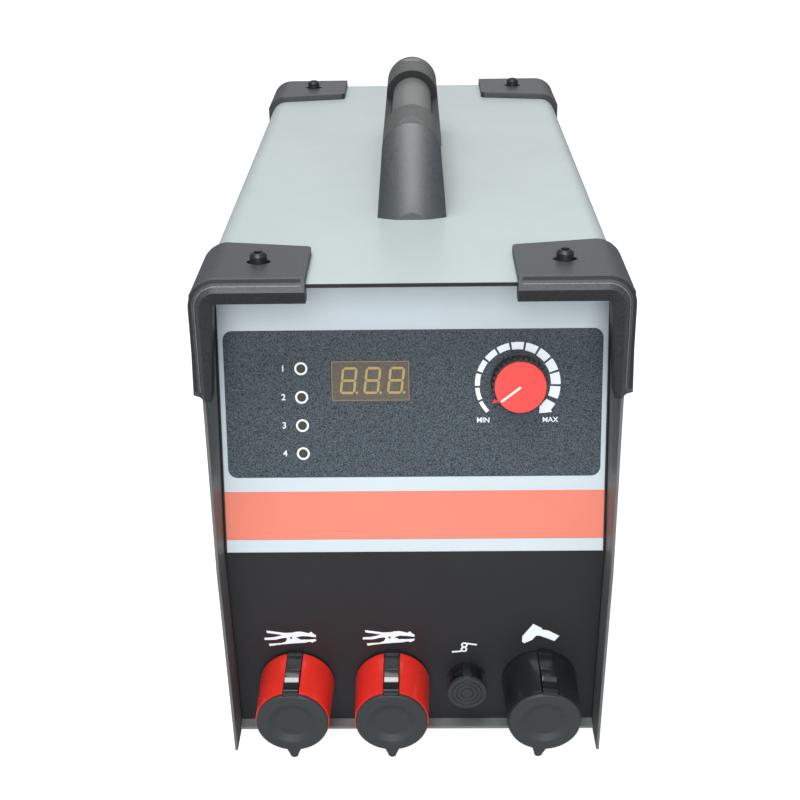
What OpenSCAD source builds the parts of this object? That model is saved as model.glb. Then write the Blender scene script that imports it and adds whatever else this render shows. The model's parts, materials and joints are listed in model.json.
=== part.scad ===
// Capacitor-discharge stud welder in a portable sheet-steel cabinet.
// Millimetres, +Z up, front towards -Y, origin on the floor below the middle of the machine.

/* [Cabinet] */
// Outer width of the cover
cover_w = 210; // [200:1:240]
// Height of the cover from its lower edge to its top face
cover_h = 283; // [270:1:320]
// Depth of the cover's top face
cover_top_d = 403; // [390:1:460]
// Height above the lower edge where the front and rear edges start to lean
break_h = 125; // [115:1:135]
// Lean of the cover's upper front and rear edges, in degrees
edge_lean = 6.2; // [4:0.1:8]
// Outer radius of the cover's long edges
cover_r = 11; // [9:1:16]
// Thickness of the cover's sheet
cover_t = 1.5; // [1:0.1:2]
// Height of the cover's lower edge above the floor
foot_gap = 10; // [8:1:16]

/* [Panels and tray] */
// Set-back of the lower front panel behind the cover's front edge
panel_recess = 20; // [16:1:24]
// Lean of the upper front panel, in degrees
panel_lean = 15.5; // [13:0.5:17]
// Thickness of the front and rear panels
panel_t = 1.2; // [1:0.1:1.6]
// Depth of the panels' folded flanges
flange_d = 14; // [12:1:18]
// Set-back of the rear panel behind the cover's rear edge
rear_recess = 24; // [22:1:30]
// Height of the tray's underside above the cover's lower edge
tray_lift = 4; // [3:0.5:8]
// Thickness of the tray's sheet
tray_t = 1.5; // [1.2:0.1:2]
// Reach of the tray's ledge past each panel
tray_ledge = 7; // [5:1:10]
// Height of the tray's side flanges
tray_flange_h = 16; // [12:1:24]

/* [Front overlay] */
// Thickness of the pale overlay film
film_t = 0.4; // [0.3:0.05:0.6]
// Thickness of the printed layers on the film
print_t = 0.2; // [0.15:0.05:0.3]
// Distance of the coral band above the fold
band_s = 7.3; // [5:0.1:10]
// Height of the coral band
band_h = 27; // [24:0.5:30]
// Distance of the dark control field above the fold
field_s = 42.3; // [40:0.1:46]
// Distance of the dark control field from each side of the panel
field_side = 3.6; // [2:0.1:8]
// Height of the dark control field
field_h = 79.7; // [74:0.1:84]
// Corner radius of the dark control field
field_r = 5; // [3:0.5:8]

/* [Display and lamps] */
// Width of the display's face
display_w = 41.2; // [36:0.1:44]
// Height of the display's face
display_h = 21.4; // [18:0.1:24]
// Sideways place of the display, as a share of the panel's half width
display_share = -0.2173; // [-0.25:0.001:-0.19]
// Place of the display's middle above the fold
display_s = 94.8; // [90:0.1:98]
// Sideways place of the lamps, as a share of the panel's half width
lamp_share = -0.5713; // [-0.6:0.001:-0.54]
// Place of the lowest lamp above the fold
lamp_s = 55.6; // [53:0.1:58]
// Distance between two lamps
lamp_pitch = 15.37; // [14:0.01:16]
// Radius of a lamp's lens
lamp_r = 2.3; // [1.8:0.1:3]

/* [Knob] */
// Sideways place of the knob, as a share of the panel's half width
knob_share = 0.5384; // [0.48:0.001:0.58]
// Place of the knob's axis above the fold
knob_s = 93.5; // [88:0.1:98]
// Radius of the knob's ribbed body
knob_r = 14.6; // [13:0.1:17]
// Radius of the knob's coloured cap
knob_cap_r = 13.4; // [12.6:0.1:13.7]
// Height of the ribbed body
knob_body_h = 10.5; // [10:0.5:14]
// Height of the coloured cap above the body
knob_cap_h = 2.2; // [2:0.1:4]
// Angle of the knob's pointer at its lowest setting, in degrees
knob_start = 217; // [200:1:230]
// Radius of the potentiometer's shaft
shaft_r = 3; // [2.5:0.1:3.2]
// Radius of the potentiometer's can
pot_r = 12; // [10:0.5:14]

/* [Weld sockets] */
// Sideways places of the three weld sockets, as shares of the panel's half width
socket_shares = [-0.6654, -0.1309, 0.6887];
// Height of the weld sockets above the cover's lower edge
socket_h = 35; // [33:0.5:40]
// Turn of each cap strap about its socket, in degrees
strap_turns = [0, 0, -7];
// Outer radius of a socket's collar at its mouth
collar_r = 20.5; // [20.3:0.1:21]
// Outer radius of a socket's collar at the panel
collar_rear_r = 21.4; // [21:0.1:22.5]
// Inner radius of a socket's collar
collar_ri = 15; // [14.5:0.1:15.5]
// Reach of the collar ahead of the panel
socket_len = 33.5; // [30:0.5:36]
// Depth of the collar's open mouth
mouth_d = 12; // [10:0.5:14]
// Radius of the contact's bore
contact_bore_r = 6.6; // [6:0.1:7]
// Outer radius of the brass contact
contact_r = 9; // [8.5:0.1:9.5]
// Radius of the insulator's threaded neck
neck_r = 13; // [12:0.1:13.4]
// Radius of the contact's rear stud
stud_r = 4; // [3.5:0.1:4.5]

/* [Dust caps] */
// Radius of a weld socket's cap
cap_r = 19.9; // [18.6:0.1:20.2]
// Thickness of a weld socket's cap
cap_t = 2.2; // [2:0.1:4]
// Width of a cap's strap
strap_w = 8.5; // [7:0.1:10]
// Thickness of a cap's strap
strap_t = 3; // [2.4:0.1:3.4]
// Gap between a cap and what it closes
cap_gap = 0.3; // [0.3:0.05:0.5]
// Reach of the pull tab past the cap's rim
tab_reach = 5.2; // [4:0.1:7]
// Width of the pull tab at its rounded tip
tab_w = 4.6; // [4:0.1:7]
// Width of the pull tab at the cap
tab_base = 9; // [8:0.5:14]

/* [Control connector] */
// Sideways place of the control connector, as a share of the panel's half width
conn_share = 0.2823; // [0.24:0.001:0.3]
// Height of the control connector above the cover's lower edge
conn_h = 36; // [34:0.5:40]
// Radius of the connector's threaded shell
conn_r = 8; // [7.6:0.1:8.4]
// Reach of the shell ahead of the panel
conn_len = 10.5; // [10.5:0.5:14]
// Radius of the connector's ring
conn_ring_r = 9.4; // [9:0.1:9.7]
// Radius of the connector's cap
conn_cap_r = 11; // [10.9:0.1:11.5]
// Thickness of the connector's cap
conn_cap_t = 2.2; // [2:0.1:4]
// Width of the connector's strap
conn_strap_w = 5; // [4:0.1:6]
// Thickness of the connector's strap
conn_strap_t = 2; // [1.6:0.1:2.2]

/* [Corner guards] */
// Thickness of a guard's plates
guard_t = 4; // [3:0.1:5]
// Length of a guard's top plate from the machine's side
guard_w = 54; // [48:1:60]
// Depth of a guard along the machine
guard_d = 48; // [42:1:54]
// Height of a guard's side leg from the cover's top
guard_leg = 58.8; // [50:0.1:66]
// Reach of a guard's nose ahead of the cover's edge
guard_nose = 6; // [4:0.1:8]
// Drop of a guard's hooked lip inside the cover's outer face
guard_hook = 8.8; // [7:0.1:9]
// Distance of a guard's screw from the machine's side
guard_screw_in = 29.5; // [26:0.5:34]
// Distance of a guard's screw behind the cover's edge
guard_screw_back = 20; // [16:0.5:24]

/* [Handle] */
// Length of the handle at its foot
handle_len = 184; // [170:1:200]
// Distance of the handle's front foot behind the cover's lower front edge
handle_y = 108; // [100:1:120]
// Width of the handle at its foot
handle_foot_w = 38; // [36:1:44]
// Width of the handle at its top
handle_top_w = 32; // [30:1:35]
// Height of the handle above the cover
handle_h = 51; // [47:1:58]
// Set-back of the handle's ends between foot and top
handle_lean = 10; // [6:1:14]
// Length of the grip insert
grip_len = 85; // [78:1:92]
// Width of the grip insert
grip_w = 24; // [20:1:26]
// Drop of the grip's top below the supports' top
grip_drop = 4.5; // [3:0.5:6]
// Height of the bar over the finger gap
bar_h = 24; // [22:1:27]
// Length of the finger gap
finger_len = 104; // [96:1:112]

/* [Rear fittings] */
// Outer size of the square fan
fan_size = 119; // [110:1:125]
// Depth of the fan's frame
fan_d = 25; // [24:1:32]
// Height of the fan's axis above the cover's lower edge
fan_h = 178; // [172:1:190]
// Sideways place of the mains switch on the rear panel
switch_x = 55; // [45:1:65]
// Height of the mains switch above the cover's lower edge
switch_h = 58; // [50:1:64]
// Full travel of the rocker, in degrees
rocker_travel = 20; // [14:1:22]
// Sideways place of the cable gland on the rear panel
gland_x = -55; // [-65:1:-45]
// Height of the cable gland above the cover's lower edge
gland_h = 52; // [44:1:60]
// Radius of the cable gland's bore
gland_bore_r = 5; // [4:0.1:5.5]

/* [Inside] */
// Radius of a capacitor can
can_r = 30; // [27:0.5:31]
// Height of a capacitor can
can_h = 95; // [85:1:105]
// Distance of the capacitor frame behind the lower front panel
bank_y = 66; // [60:1:76]
// Gap between neighbouring cans
can_gap = 4; // [3:0.5:6]
// Height of the board deck above the tray
deck_h = 124; // [122:1:136]
// Width of the transformer's core
core_w = 96; // [90:1:105]
// Height of the transformer's core
core_h = 80; // [74:1:88]
// Thickness of the transformer's core stack
core_d = 40; // [36:1:44]
// Thickness of the transformer's winding
coil_t = 13; // [11:0.5:14]
// Height of the heat sink
sink_h = 40; // [34:1:50]
// Number of fins on the heat sink
sink_fins = 9; // [7:1:10]

/* [Hidden] */

$fn = 64;
// Overrun of every cut
cut = 1;
// Clearance between sheets that lie side by side
sheet_gap = 0.4;
// Clearance of a piece in its hole or recess
fit = 0.1;
// Running clearance of a shaft in its bore
run_fit = 0.05;

// Heights and depths of the cabinet
z_top = foot_gap + cover_h;
z_break = foot_gap + break_h;
z_under = foot_gap + tray_lift;
z_deck = z_under + tray_t;
lean_back = (cover_h - break_h) * tan(edge_lean);
cover_d = cover_top_d + 2 * lean_back;
front_reach = socket_len + cap_gap + cap_t - panel_recess;
y_front = (front_reach - cover_d) / 2;
y_rear = y_front + cover_d;
y_mid = (y_front + y_rear) / 2;
y_panel = y_front + panel_recess;
y_back = y_rear - rear_recess;
half_in = cover_w / 2 - cover_t - sheet_gap;
panel_top = z_top - cover_t - sheet_gap;
// Places across the front panel
display_x = display_share * half_in;
lamp_x = lamp_share * half_in;
knob_x = knob_share * half_in;
socket_xs = [for (socket_share = socket_shares) socket_share * half_in];
conn_x = conn_share * half_in;
field_w = 2 * (half_in - field_side);
// Slope of the leaning panel
y_panel_top = y_panel + (panel_top - z_break) * tan(panel_lean);
upper_len = (panel_top - z_break) / cos(panel_lean);
// Thickness of the leaning panel square to its face
upper_t = panel_t * cos(panel_lean);
film_top = film_t + print_t;

// Screw sizes: shank radius, head radius, head height, key width
m4_r = 2;
m4_head_r = 4;
m4_head_h = 2.6;
m4_nut_w = 7;
m4_nut_h = 3.2;
m5_r = 2.5;
m5_head_r = 4.25;
m5_head_h = 5;
m5_head_cut = 1.4;
m5_key_w = 4;
m5_key_d = 2.6;
m5_nut_w = 8;
m5_nut_h = 4;
cross_w = 1;
cross_len = 4.4;
cross_d = 1.2;
cross_turns = [0, 90];
hole_gap = 0.2;

// Cover screws and side vents
cover_screw_h = 128;
cover_screw_y = panel_t + flange_d / 2;
vent_len = 44;
vent_h = 5;
vent_pitch = 11;
vent_rows = 6;
vent_low = 40;
vent_spread = 66;

// Rivets between panels and tray
rivet_r = 1.6;
rivet_head_r = 3.2;
rivet_head_h = 1;
rivet_in = 45;
rivet_x = half_in - rivet_in;

// Overlay film and the glue under it
film_margin = 1;
glue_t = 0.03;

// Boards behind the upper panel
board_t = 1.6;
standoff_h = 9;
standoff_r = 3;
control_board_w = 92;
control_board_h = 76;
control_board_x = (lamp_x + display_x) / 2;
control_board_s = 80;
standoff_in = 5;
lamp_count = 4;
lamp_base_r = 3.2;
lamp_proud = 0.3;
display_rim = 0.1;

// Potentiometer and knob
pot_len = 10;
bush_r = 3.5;
bush_len = 5;
pot_nut_w = 11;
pot_nut_h = 2.4;
knob_lift = 1;
knob_roof = 1.5;
shaft_len = knob_lift + knob_body_h - knob_roof;
shaft_in = 6;
shaft_neck_r = 2.5;
knob_hollow_r = 8;
knob_hollow_h = 4.8;
rib_count = 30;
rib_r = 0.8;
rib_low = 2;
fin_w = 3.2;
fin_reach = 3.4;
fin_h = 2.4;
fin_root_r = 11.6;
fin_strip_t = 0.9;

// Weld sockets
ring_t = 2;
floor_t = 3;
neck_len = 14;
contact_flange_t = 2;
contact_flange_r = 11.5;
contact_blind = 4;
stud_len = 15;
socket_nut_w = 36;
socket_nut_h = 6;
stud_nut_w = 13;
stud_nut_h = 6;
bar_t = 3;
strap_r = cap_r;
slot_gap = 0.3;
root_len = 4;
root_h = 1;
boss_r = 13.8;
boss_h = 2.4;
dish_r = 9.5;
dish_slope = 4;
dish_d = 1.8;
tab_share = 0.88;
rim_cut = 0.8;
tab_t = 1.8;

// Control connector
conn_ring_t = 1.6;
conn_nut_t = 3;
conn_wall = 1.5;
conn_neck_len = 9;
conn_pocket = 10;
conn_nut_w = 20;
conn_nut_h = 3;
conn_pin_r = 0.9;
conn_pin_ring_r = 3.4;
conn_pins = 5;
conn_pin_len = 7;
conn_strap_r = conn_cap_r;
conn_boss_r = 4.8;
conn_boss_h = 1.6;
groove_w = 0.8;
groove_d = 0.6;
groove_shares = [0.35, 0.58, 0.8];

// Corner guards
guard_gap = 0.15;
lip_gap = 0.4;
lip_riser = 2;
hook_back = 5;
ridge_rise = 0.6;
ridge_share = 0.43;
return_share = 0.27;
return_reach_share = 0.5;
guard_corner_r = 3;
guard_flare = 7;
leg_taper = 1.8;
hook_taper = 3.6;
leg_slant = 3.5;
guard_slot_len = 12;

// Handle
finger_h = handle_h - bar_h;
handle_bow_r = 42;
finger_r = 10;
grip_floor = 4;
handle_bolt_in = 18;
handle_bolt_x = 9;
handle_bolt_depth = 12;
notch_in = 4;
notch_len = 9;
notch_d = 1.6;

// Feet
foot_r = 13;
foot_top_r = 11;
foot_in_x = 24;
foot_in_y = 46;
foot_pocket_r = 5;
foot_pocket_h = 6;

// Fan
fan_wall = 2;
fan_corner_r = 5;
fan_screw_in = 7;
fan_hub_r = 20;
fan_plate_t = 4;
fan_strut_w = 6;
fan_tip_gap = 1;
fan_axle_r = 2.5;
fan_axle_gap = 1;
blade_t = 2;
blade_tilt = 40;
blade_count = 7;
grille_w = 5;
grille_web = 4;
grille_spoke = 8;
spoke_turns = [45, 135];

// Mains switch
switch_flange_w = 27;
switch_flange_l = 34;
switch_flange_t = 2;
switch_barrel_w = 21.6;
switch_barrel_l = 28;
switch_barrel_d = 18;
rocker_w = 16.4;
rocker_l = 22;
rocker_gap = 1.6;
rocker_side_gap = 0.3;
rocker_pivot = 3;
rocker_pocket = 14;
rocker_side = 2;
rocker_rise = 6;
rocker_middle = 3.5;
rocker_keel = 5;
rocker_pin_r = 1.5;
rocker_pin_len = 1.6;

// Cable gland
gland_hex_w = 24;
gland_hex_h = 6;
gland_dome_r = 10;
gland_dome_h = 12;
dome_share = 0.6;
gland_neck_r = 9;
gland_neck_len = 10;
gland_nut_h = 5;

// Inside
wall_t = 1.5;
frame_gap = 0.4;
frame_wall_gap = 14;
clamp_share = 0.55;
post_r = 5;
post_h = 4;
post_out = 12;
busbar_w = 14;
sink_w = 84;
sink_l = 66;
sink_base = 8;
fin_t = 2;
thyristor_w = 34;
thyristor_l = 60;
thyristor_h = 28;
terminal_r = 5;
terminal_h = 3;
power_board_l = 84;
power_board_w = 120;
boss_out_r = 4;
boss_out_h = 6;
core_y_gap = 14;
bank_rows = 3;
chip_h = 12;
chip_w = 30;

// Colours
steel_grey = [0.78, 0.82, 0.81];
panel_black = [0.18, 0.19, 0.21];
rubber_black = [0.16, 0.17, 0.18];
guard_black = [0.3, 0.3, 0.31];
signal_red = [0.87, 0.18, 0.14];
zinc = [0.7, 0.72, 0.74];
collar_colours = [signal_red, signal_red, rubber_black];

// Extrudes an outline drawn in X and Z along Y
module along_y(from, len) {
    translate([0, from + len, 0])
        rotate([90, 0, 0])
            linear_extrude(len) children();
}

// Extrudes an outline drawn in Y and Z along X
module along_x(from, len) {
    translate([from, 0, 0])
        rotate([90, 0, 90])
            linear_extrude(len) children();
}

// Block between two corners
module block(low, high) {
    translate(low) cube(high - low);
}

// Rod along Z between two heights
module rod(r, from, to) {
    translate([0, 0, from]) cylinder(r = r, h = to - from);
}

// Hexagonal prism along Z, given its width across flats
module hex_rod(width, from, to) {
    translate([0, 0, from]) cylinder(r = width / sqrt(3), h = to - from, $fn = 6);
}

// Hexagonal nut with a round hole
module hex_nut(width, hole_r, from, to) {
    difference() {
        hex_rod(width, from, to);
        rod(hole_r, from - cut, to + cut);
    }
}

// Rectangle with round corners, centred
module round_rect(w, h, r) {
    square([w - 2 * r, h], center = true);
    square([w, h - 2 * r], center = true);
    for (sx = [-1, 1], sy = [-1, 1])
        translate([sx * (w / 2 - r), sy * (h / 2 - r)]) circle(r);
}

// Slot with round ends along X, centred
module slot_outline(len, width) {
    square([len - width, width], center = true);
    for (s = [-1, 1])
        translate([s * (len - width) / 2, 0]) circle(width / 2);
}

// Upright outline with two round upper corners
module round_top(w, low, high, r) {
    translate([-w / 2, low]) square([w, high - r - low]);
    translate([r - w / 2, low]) square([w - 2 * r, high - low]);
    for (s = [-1, 1])
        translate([s * (w / 2 - r), high - r]) circle(r);
}

// Places children on the leaning upper panel: Y runs up the panel, Z points out
module on_upper(x, s) {
    translate([0, y_panel, z_break])
        rotate([90 - panel_lean, 0, 0])
            translate([x, s, 0]) children();
}

// Places children on the vertical lower panel: Y runs up, Z points out
module on_lower(x, h) {
    translate([x, y_panel, foot_gap + h])
        rotate([90, 0, 0]) children();
}

// Places children on the rear panel: Y runs up, Z points out to the rear
module on_rear(x, h) {
    translate([x, y_back, foot_gap + h])
        rotate([90, 0, 180]) children();
}

// Repeats children at the screws in both sides of the cover, Z pointing out
module at_cover_screws() {
    for (side = [-1, 1], y = [y_panel + cover_screw_y, y_back - cover_screw_y])
        translate([side * cover_w / 2, y, foot_gap + cover_screw_h])
            rotate([0, side * 90, 0]) children();
}

// Repeats children at the corner guards' screws, at the cover's top face
module at_guard_screws() {
    y_in = lean_back + guard_screw_back;
    for (side = [-1, 1], y = [y_front + y_in, y_rear - y_in])
        translate([side * (cover_w / 2 - guard_screw_in), y, z_top]) children();
}

// Repeats children at the handle's bolts, at the cover's top face
module at_handle_bolts() {
    y_low = y_front + handle_y + handle_bolt_in;
    y_high = y_front + handle_y + handle_len - handle_bolt_in;
    for (side = [-1, 1], y = [y_low, y_high])
        translate([side * handle_bolt_x, y, z_top]) children();
}

// Repeats children at the feet, on the tray's underside
module at_feet() {
    for (side = [-1, 1], y = [y_front + foot_in_y, y_rear - foot_in_y])
        translate([side * (half_in - foot_in_x), y, z_under]) children();
}

// Repeats children at the rivets, on the tray's underside
module at_rivets() {
    for (x = [-rivet_x, 0, rivet_x], y = [y_panel + cover_screw_y, y_back - cover_screw_y])
        translate([x, y, z_under]) children();
}

// Repeats children at the fan's screws, in the rear panel's frame
module at_fan_screws() {
    place = fan_size / 2 - fan_screw_in;
    on_rear(0, fan_h)
        for (sx = [-1, 1], sy = [-1, 1])
            translate([sx * place, sy * place, 0]) children();
}

// Keeps children inside the cover, with a gap to its inner face
module inside_cover(gap) {
    intersection() {
        union() children();
        along_y(y_front - cut, cover_d + 2 * cut)
            round_top(cover_w - 2 * (cover_t + gap), foot_gap - cut, z_top - cover_t - gap,
                cover_r - cover_t);
    }
}

// Room for the guards' nuts in the panels' top flanges
module guard_nut_room() {
    at_guard_screws() rod(m5_nut_w, -cover_t - m5_nut_h - cut, 0);
}

// Side outline of the cover
module cover_side() {
    polygon([[y_front, foot_gap], [y_front, z_break],
        [y_front + lean_back, z_top], [y_rear - lean_back, z_top],
        [y_rear, z_break], [y_rear, foot_gap]]);
}

// Inverted-U cover with leaning front and rear edges
module cover() {
    color(steel_grey)
    difference() {
        intersection() {
            along_y(y_front, cover_d) round_top(cover_w, foot_gap, z_top, cover_r);
            along_x(-cover_w / 2 - cut, cover_w + 2 * cut) cover_side();
        }
        along_y(y_front - cut, cover_d + 2 * cut)
            round_top(cover_w - 2 * cover_t, foot_gap - cut, z_top - cover_t, cover_r - cover_t);
        at_cover_screws() rod(m4_r + hole_gap, -cover_t - cut, cut);
        at_guard_screws() rod(m5_r + hole_gap, -cover_t - cut, cut);
        at_handle_bolts() rod(m5_r + hole_gap, -cover_t - cut, cut);
        for (row = [0 : vent_rows - 1], y = [y_mid - vent_spread, y_mid + vent_spread])
            translate([0, y, foot_gap + vent_low + row * vent_pitch])
                along_x(-cover_w / 2 - cut, cover_w + 2 * cut) slot_outline(vent_len, vent_h);
    }
}

// Folded base tray with a ledge ahead of and behind the panels
module base_tray() {
    y_low = y_panel - tray_ledge;
    y_high = y_back + tray_ledge;
    side_low = y_panel + panel_t + flange_d + sheet_gap;
    side_high = y_back - panel_t - flange_d - sheet_gap;
    color(zinc)
    difference() {
        union() {
            block([-half_in, y_low, z_under], [half_in, y_high, z_deck]);
            for (s = [0, 1])
                mirror([s, 0, 0])
                    block([half_in - tray_t, side_low, z_under],
                        [half_in, side_high, z_deck + tray_flange_h]);
        }
        at_feet() rod(m4_r + hole_gap, -cut, tray_t + cut);
        at_rivets() rod(rivet_r + fit, -cut, tray_t + cut);
    }
}

// Side outline of the front panel, folded back to a given depth
function front_strip(depth) = [[y_panel, z_deck], [y_panel, z_break],
    [y_panel_top, panel_top], [y_panel_top + depth, panel_top],
    [y_panel + depth, z_break], [y_panel + depth, z_deck]];

// Bent front panel with side, top and bottom flanges and all its cut-outs
module front_panel() {
    back = panel_t + cut;
    color(panel_black)
    difference() {
        inside_cover(sheet_gap) {
            along_x(-half_in, 2 * half_in) polygon(front_strip(panel_t));
            for (s = [0, 1])
                mirror([s, 0, 0])
                    along_x(half_in - panel_t, panel_t) polygon(front_strip(panel_t + flange_d));
            block([-half_in, y_panel_top, panel_top - panel_t],
                [half_in, y_panel_top + panel_t + flange_d, panel_top]);
            block([-half_in, y_panel, z_deck],
                [half_in, y_panel + panel_t + flange_d, z_deck + panel_t]);
        }
        for (x = socket_xs)
            on_lower(x, socket_h) rod(neck_r + fit, -back, cut);
        on_lower(conn_x, conn_h) rod(conn_r + fit, -back, cut);
        on_upper(knob_x, knob_s) rod(bush_r + fit, -back, cut);
        for (i = [0 : lamp_count - 1])
            on_upper(lamp_x, lamp_s + i * lamp_pitch) rod(lamp_r + fit, -back, cut);
        on_upper(display_x, display_s)
            translate([0, 0, -back])
                linear_extrude(back + cut)
                    square([display_w + 2 * display_rim, display_h + 2 * display_rim], center = true);
        at_cover_screws() rod(m4_r + fit, -flange_d, cut);
        guard_nut_room();
        at_rivets() rod(rivet_r + fit, -cut, tray_t + panel_t + cut);
    }
}

// Flat rear panel with flanges, the fan's grille and the mains cut-outs
module rear_panel() {
    back = panel_t + cut;
    y_in = y_back - panel_t - flange_d;
    rings = floor((duct_r - fan_hub_r) / (grille_w + grille_web));
    color(panel_black)
    difference() {
        inside_cover(sheet_gap) {
            block([-half_in, y_back - panel_t, z_deck], [half_in, y_back, panel_top]);
            for (s = [0, 1])
                mirror([s, 0, 0])
                    block([half_in - panel_t, y_in, z_deck], [half_in, y_back, panel_top]);
            block([-half_in, y_in, panel_top - panel_t], [half_in, y_back, panel_top]);
            block([-half_in, y_in, z_deck], [half_in, y_back, z_deck + panel_t]);
        }
        on_rear(0, fan_h)
            difference() {
                for (i = [0 : rings - 1])
                    difference() {
                        rod(fan_hub_r + grille_web + i * (grille_w + grille_web) + grille_w, -back, cut);
                        rod(fan_hub_r + grille_web + i * (grille_w + grille_web), -back - cut, 2 * cut);
                    }
                for (turn = spoke_turns)
                    rotate(turn)
                        translate([-fan_size, -grille_spoke / 2, -back - cut])
                            cube([2 * fan_size, grille_spoke, back + 3 * cut]);
            }
        on_rear(switch_x, switch_h)
            translate([0, 0, -back])
                linear_extrude(back + cut)
                    square([switch_barrel_w + 2 * fit, switch_barrel_l + 2 * fit], center = true);
        on_rear(gland_x, gland_h) rod(gland_neck_r + fit, -back, cut);
        at_fan_screws() rod(m4_r + hole_gap, -back, cut);
        at_cover_screws() rod(m4_r + fit, -flange_d, cut);
        guard_nut_room();
        at_rivets() rod(rivet_r + fit, -cut, tray_t + panel_t + cut);
    }
}

// Holes in the overlay for lamps, display and potentiometer
module overlay_holes() {
    on_upper(knob_x, knob_s) rod(bush_r + fit, -cut, film_top + cut);
    for (i = [0 : lamp_count - 1])
        on_upper(lamp_x, lamp_s + i * lamp_pitch) rod(lamp_r + fit, -cut, film_top + cut);
    on_upper(display_x, display_s)
        translate([0, 0, -cut])
            linear_extrude(film_top + 2 * cut)
                square([display_w + 2 * display_rim, display_h + 2 * display_rim], center = true);
}

// Pale film over the whole leaning panel
module overlay_film() {
    color([0.88, 0.94, 0.97])
    difference() {
        inside_cover(sheet_gap + film_margin)
            on_upper(0, 0)
                translate([-half_in, 0, glue_t])
                    cube([2 * half_in, upper_len, film_t - glue_t]);
        overlay_holes();
    }
}

// Dark control field on the film
module control_field() {
    color([0.28, 0.31, 0.34])
    difference() {
        on_upper(0, field_s + field_h / 2)
            translate([0, 0, film_t])
                linear_extrude(print_t) round_rect(field_w, field_h, field_r);
        overlay_holes();
    }
}

// Coral band across the film
module accent_band() {
    color([1, 0.57, 0.48])
    on_upper(0, band_s)
        translate([film_margin - half_in, 0, film_t])
            cube([2 * (half_in - film_margin), band_h, print_t]);
}

// Three-digit display, from the control board to the film's face
module display_module() {
    color([0.35, 0.31, 0.26])
    on_upper(display_x, display_s)
        translate([0, 0, -upper_t - standoff_h])
            linear_extrude(upper_t + standoff_h + film_t)
                square([display_w, display_h], center = true);
}

// Four lamps on their spacers
module indicator_lamps() {
    color([0.3, 0.28, 0.24])
    for (i = [0 : lamp_count - 1])
        on_upper(lamp_x, lamp_s + i * lamp_pitch) {
            rod(lamp_r, -upper_t - standoff_h, film_top + lamp_proud);
            rod(lamp_base_r, -upper_t - standoff_h, -upper_t - fit);
        }
}

// Corners of the control board, relative to its middle
module at_standoffs() {
    on_upper(control_board_x, control_board_s)
        for (sx = [-1, 1], sy = [-1, 1])
            translate([sx * (control_board_w / 2 - standoff_in), sy * (control_board_h / 2 - standoff_in), 0])
                children();
}

// Control board behind the leaning panel
module control_board() {
    back = -upper_t - standoff_h;
    color([0.1, 0.35, 0.2])
    difference() {
        on_upper(control_board_x, control_board_s)
            translate([-control_board_w / 2, -control_board_h / 2, back - board_t])
                cube([control_board_w, control_board_h, board_t]);
        at_standoffs() rod(standoff_r / 2 + fit, back - board_t - cut, back + cut);
    }
}

// Pillars that carry the control board, each with a pin and a head behind the board
module board_standoffs() {
    back = -upper_t - standoff_h;
    color([0.8, 0.75, 0.5])
    at_standoffs() {
        rod(standoff_r, back, -upper_t);
        rod(standoff_r / 2, back - board_t, back);
        rod(standoff_r, back - board_t - standoff_r / 2, back - board_t);
    }
}

// Potentiometer can with its threaded bush
module potentiometer() {
    color(zinc)
    on_upper(knob_x, knob_s)
        difference() {
            union() {
                rod(pot_r, -upper_t - pot_len, -upper_t);
                rod(bush_r, -upper_t - pot_len, film_top + bush_len);
            }
            rod(shaft_neck_r + run_fit, -upper_t - shaft_in, film_top + bush_len + cut);
        }
}

// Potentiometer shaft, turning in the bush and carrying the knob
module potentiometer_shaft() {
    color([0.6, 0.6, 0.6])
    on_upper(knob_x, knob_s) {
        rod(shaft_neck_r, run_fit - upper_t - shaft_in, film_top + bush_len + fit);
        rod(shaft_r, film_top + bush_len + fit, film_top + shaft_len);
    }
}

// Ribbed knob body with a hollow for the potentiometer's nut
module knob_body() {
    low = film_top + knob_lift;
    color(rubber_black)
    on_upper(knob_x, knob_s)
        difference() {
            rod(knob_r, low, low + knob_body_h);
            rod(knob_hollow_r, low - cut, low + knob_hollow_h);
            rod(shaft_r + fit, low - cut, film_top + shaft_len + fit);
            for (i = [0 : rib_count - 1])
                rotate(i * 360 / rib_count)
                    translate([knob_r, 0, 0]) rod(rib_r, low + rib_low, low + knob_body_h + cut);
            rotate(knob_start)
                translate([fin_root_r - fit, -fin_w / 2 - fit, low - cut])
                    cube([knob_r, fin_w + 2 * fit, knob_body_h + 2 * cut]);
        }
}

// Coloured knob cap with a strip in the body's groove down to the pointer at the base
module knob_cap() {
    low = film_top + knob_lift;
    face = low + knob_body_h;
    color(signal_red)
    on_upper(knob_x, knob_s) {
        rod(knob_cap_r, face, face + knob_cap_h);
        rotate(knob_start) {
            translate([0, 0, low])
                linear_extrude(fin_h)
                    polygon([[fin_root_r, -fin_w / 2], [knob_r, -fin_w / 2], [knob_r + fin_reach, 0],
                        [knob_r, fin_w / 2], [fin_root_r, fin_w / 2]]);
            translate([fin_root_r, -fin_w / 2, low])
                cube([fin_strip_t, fin_w, knob_body_h + knob_cap_h / 2]);
        }
    }
}

// Outline of a strap's slot or body, drawn across the socket's axis
module strap_outline(width, low, high) {
    translate([-width / 2, low]) square([width, high - low]);
}

// Round collar with a slot for the cap's strap
module socket_collar(i) {
    color(collar_colours[i])
    on_lower(socket_xs[i], socket_h)
        rotate(strap_turns[i])
            difference() {
                translate([0, 0, ring_t])
                    cylinder(r1 = collar_rear_r, r2 = collar_r, h = socket_len - ring_t);
                rod(collar_ri, ring_t + floor_t, socket_len + cut);
                rod(neck_r + fit, ring_t - cut, socket_len);
                translate([0, 0, ring_t - cut])
                    linear_extrude(socket_len + 2 * cut)
                        strap_outline(strap_w + 2 * slot_gap, strap_r - strap_t / 2 - slot_gap,
                            collar_rear_r + cut);
            }
}

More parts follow.
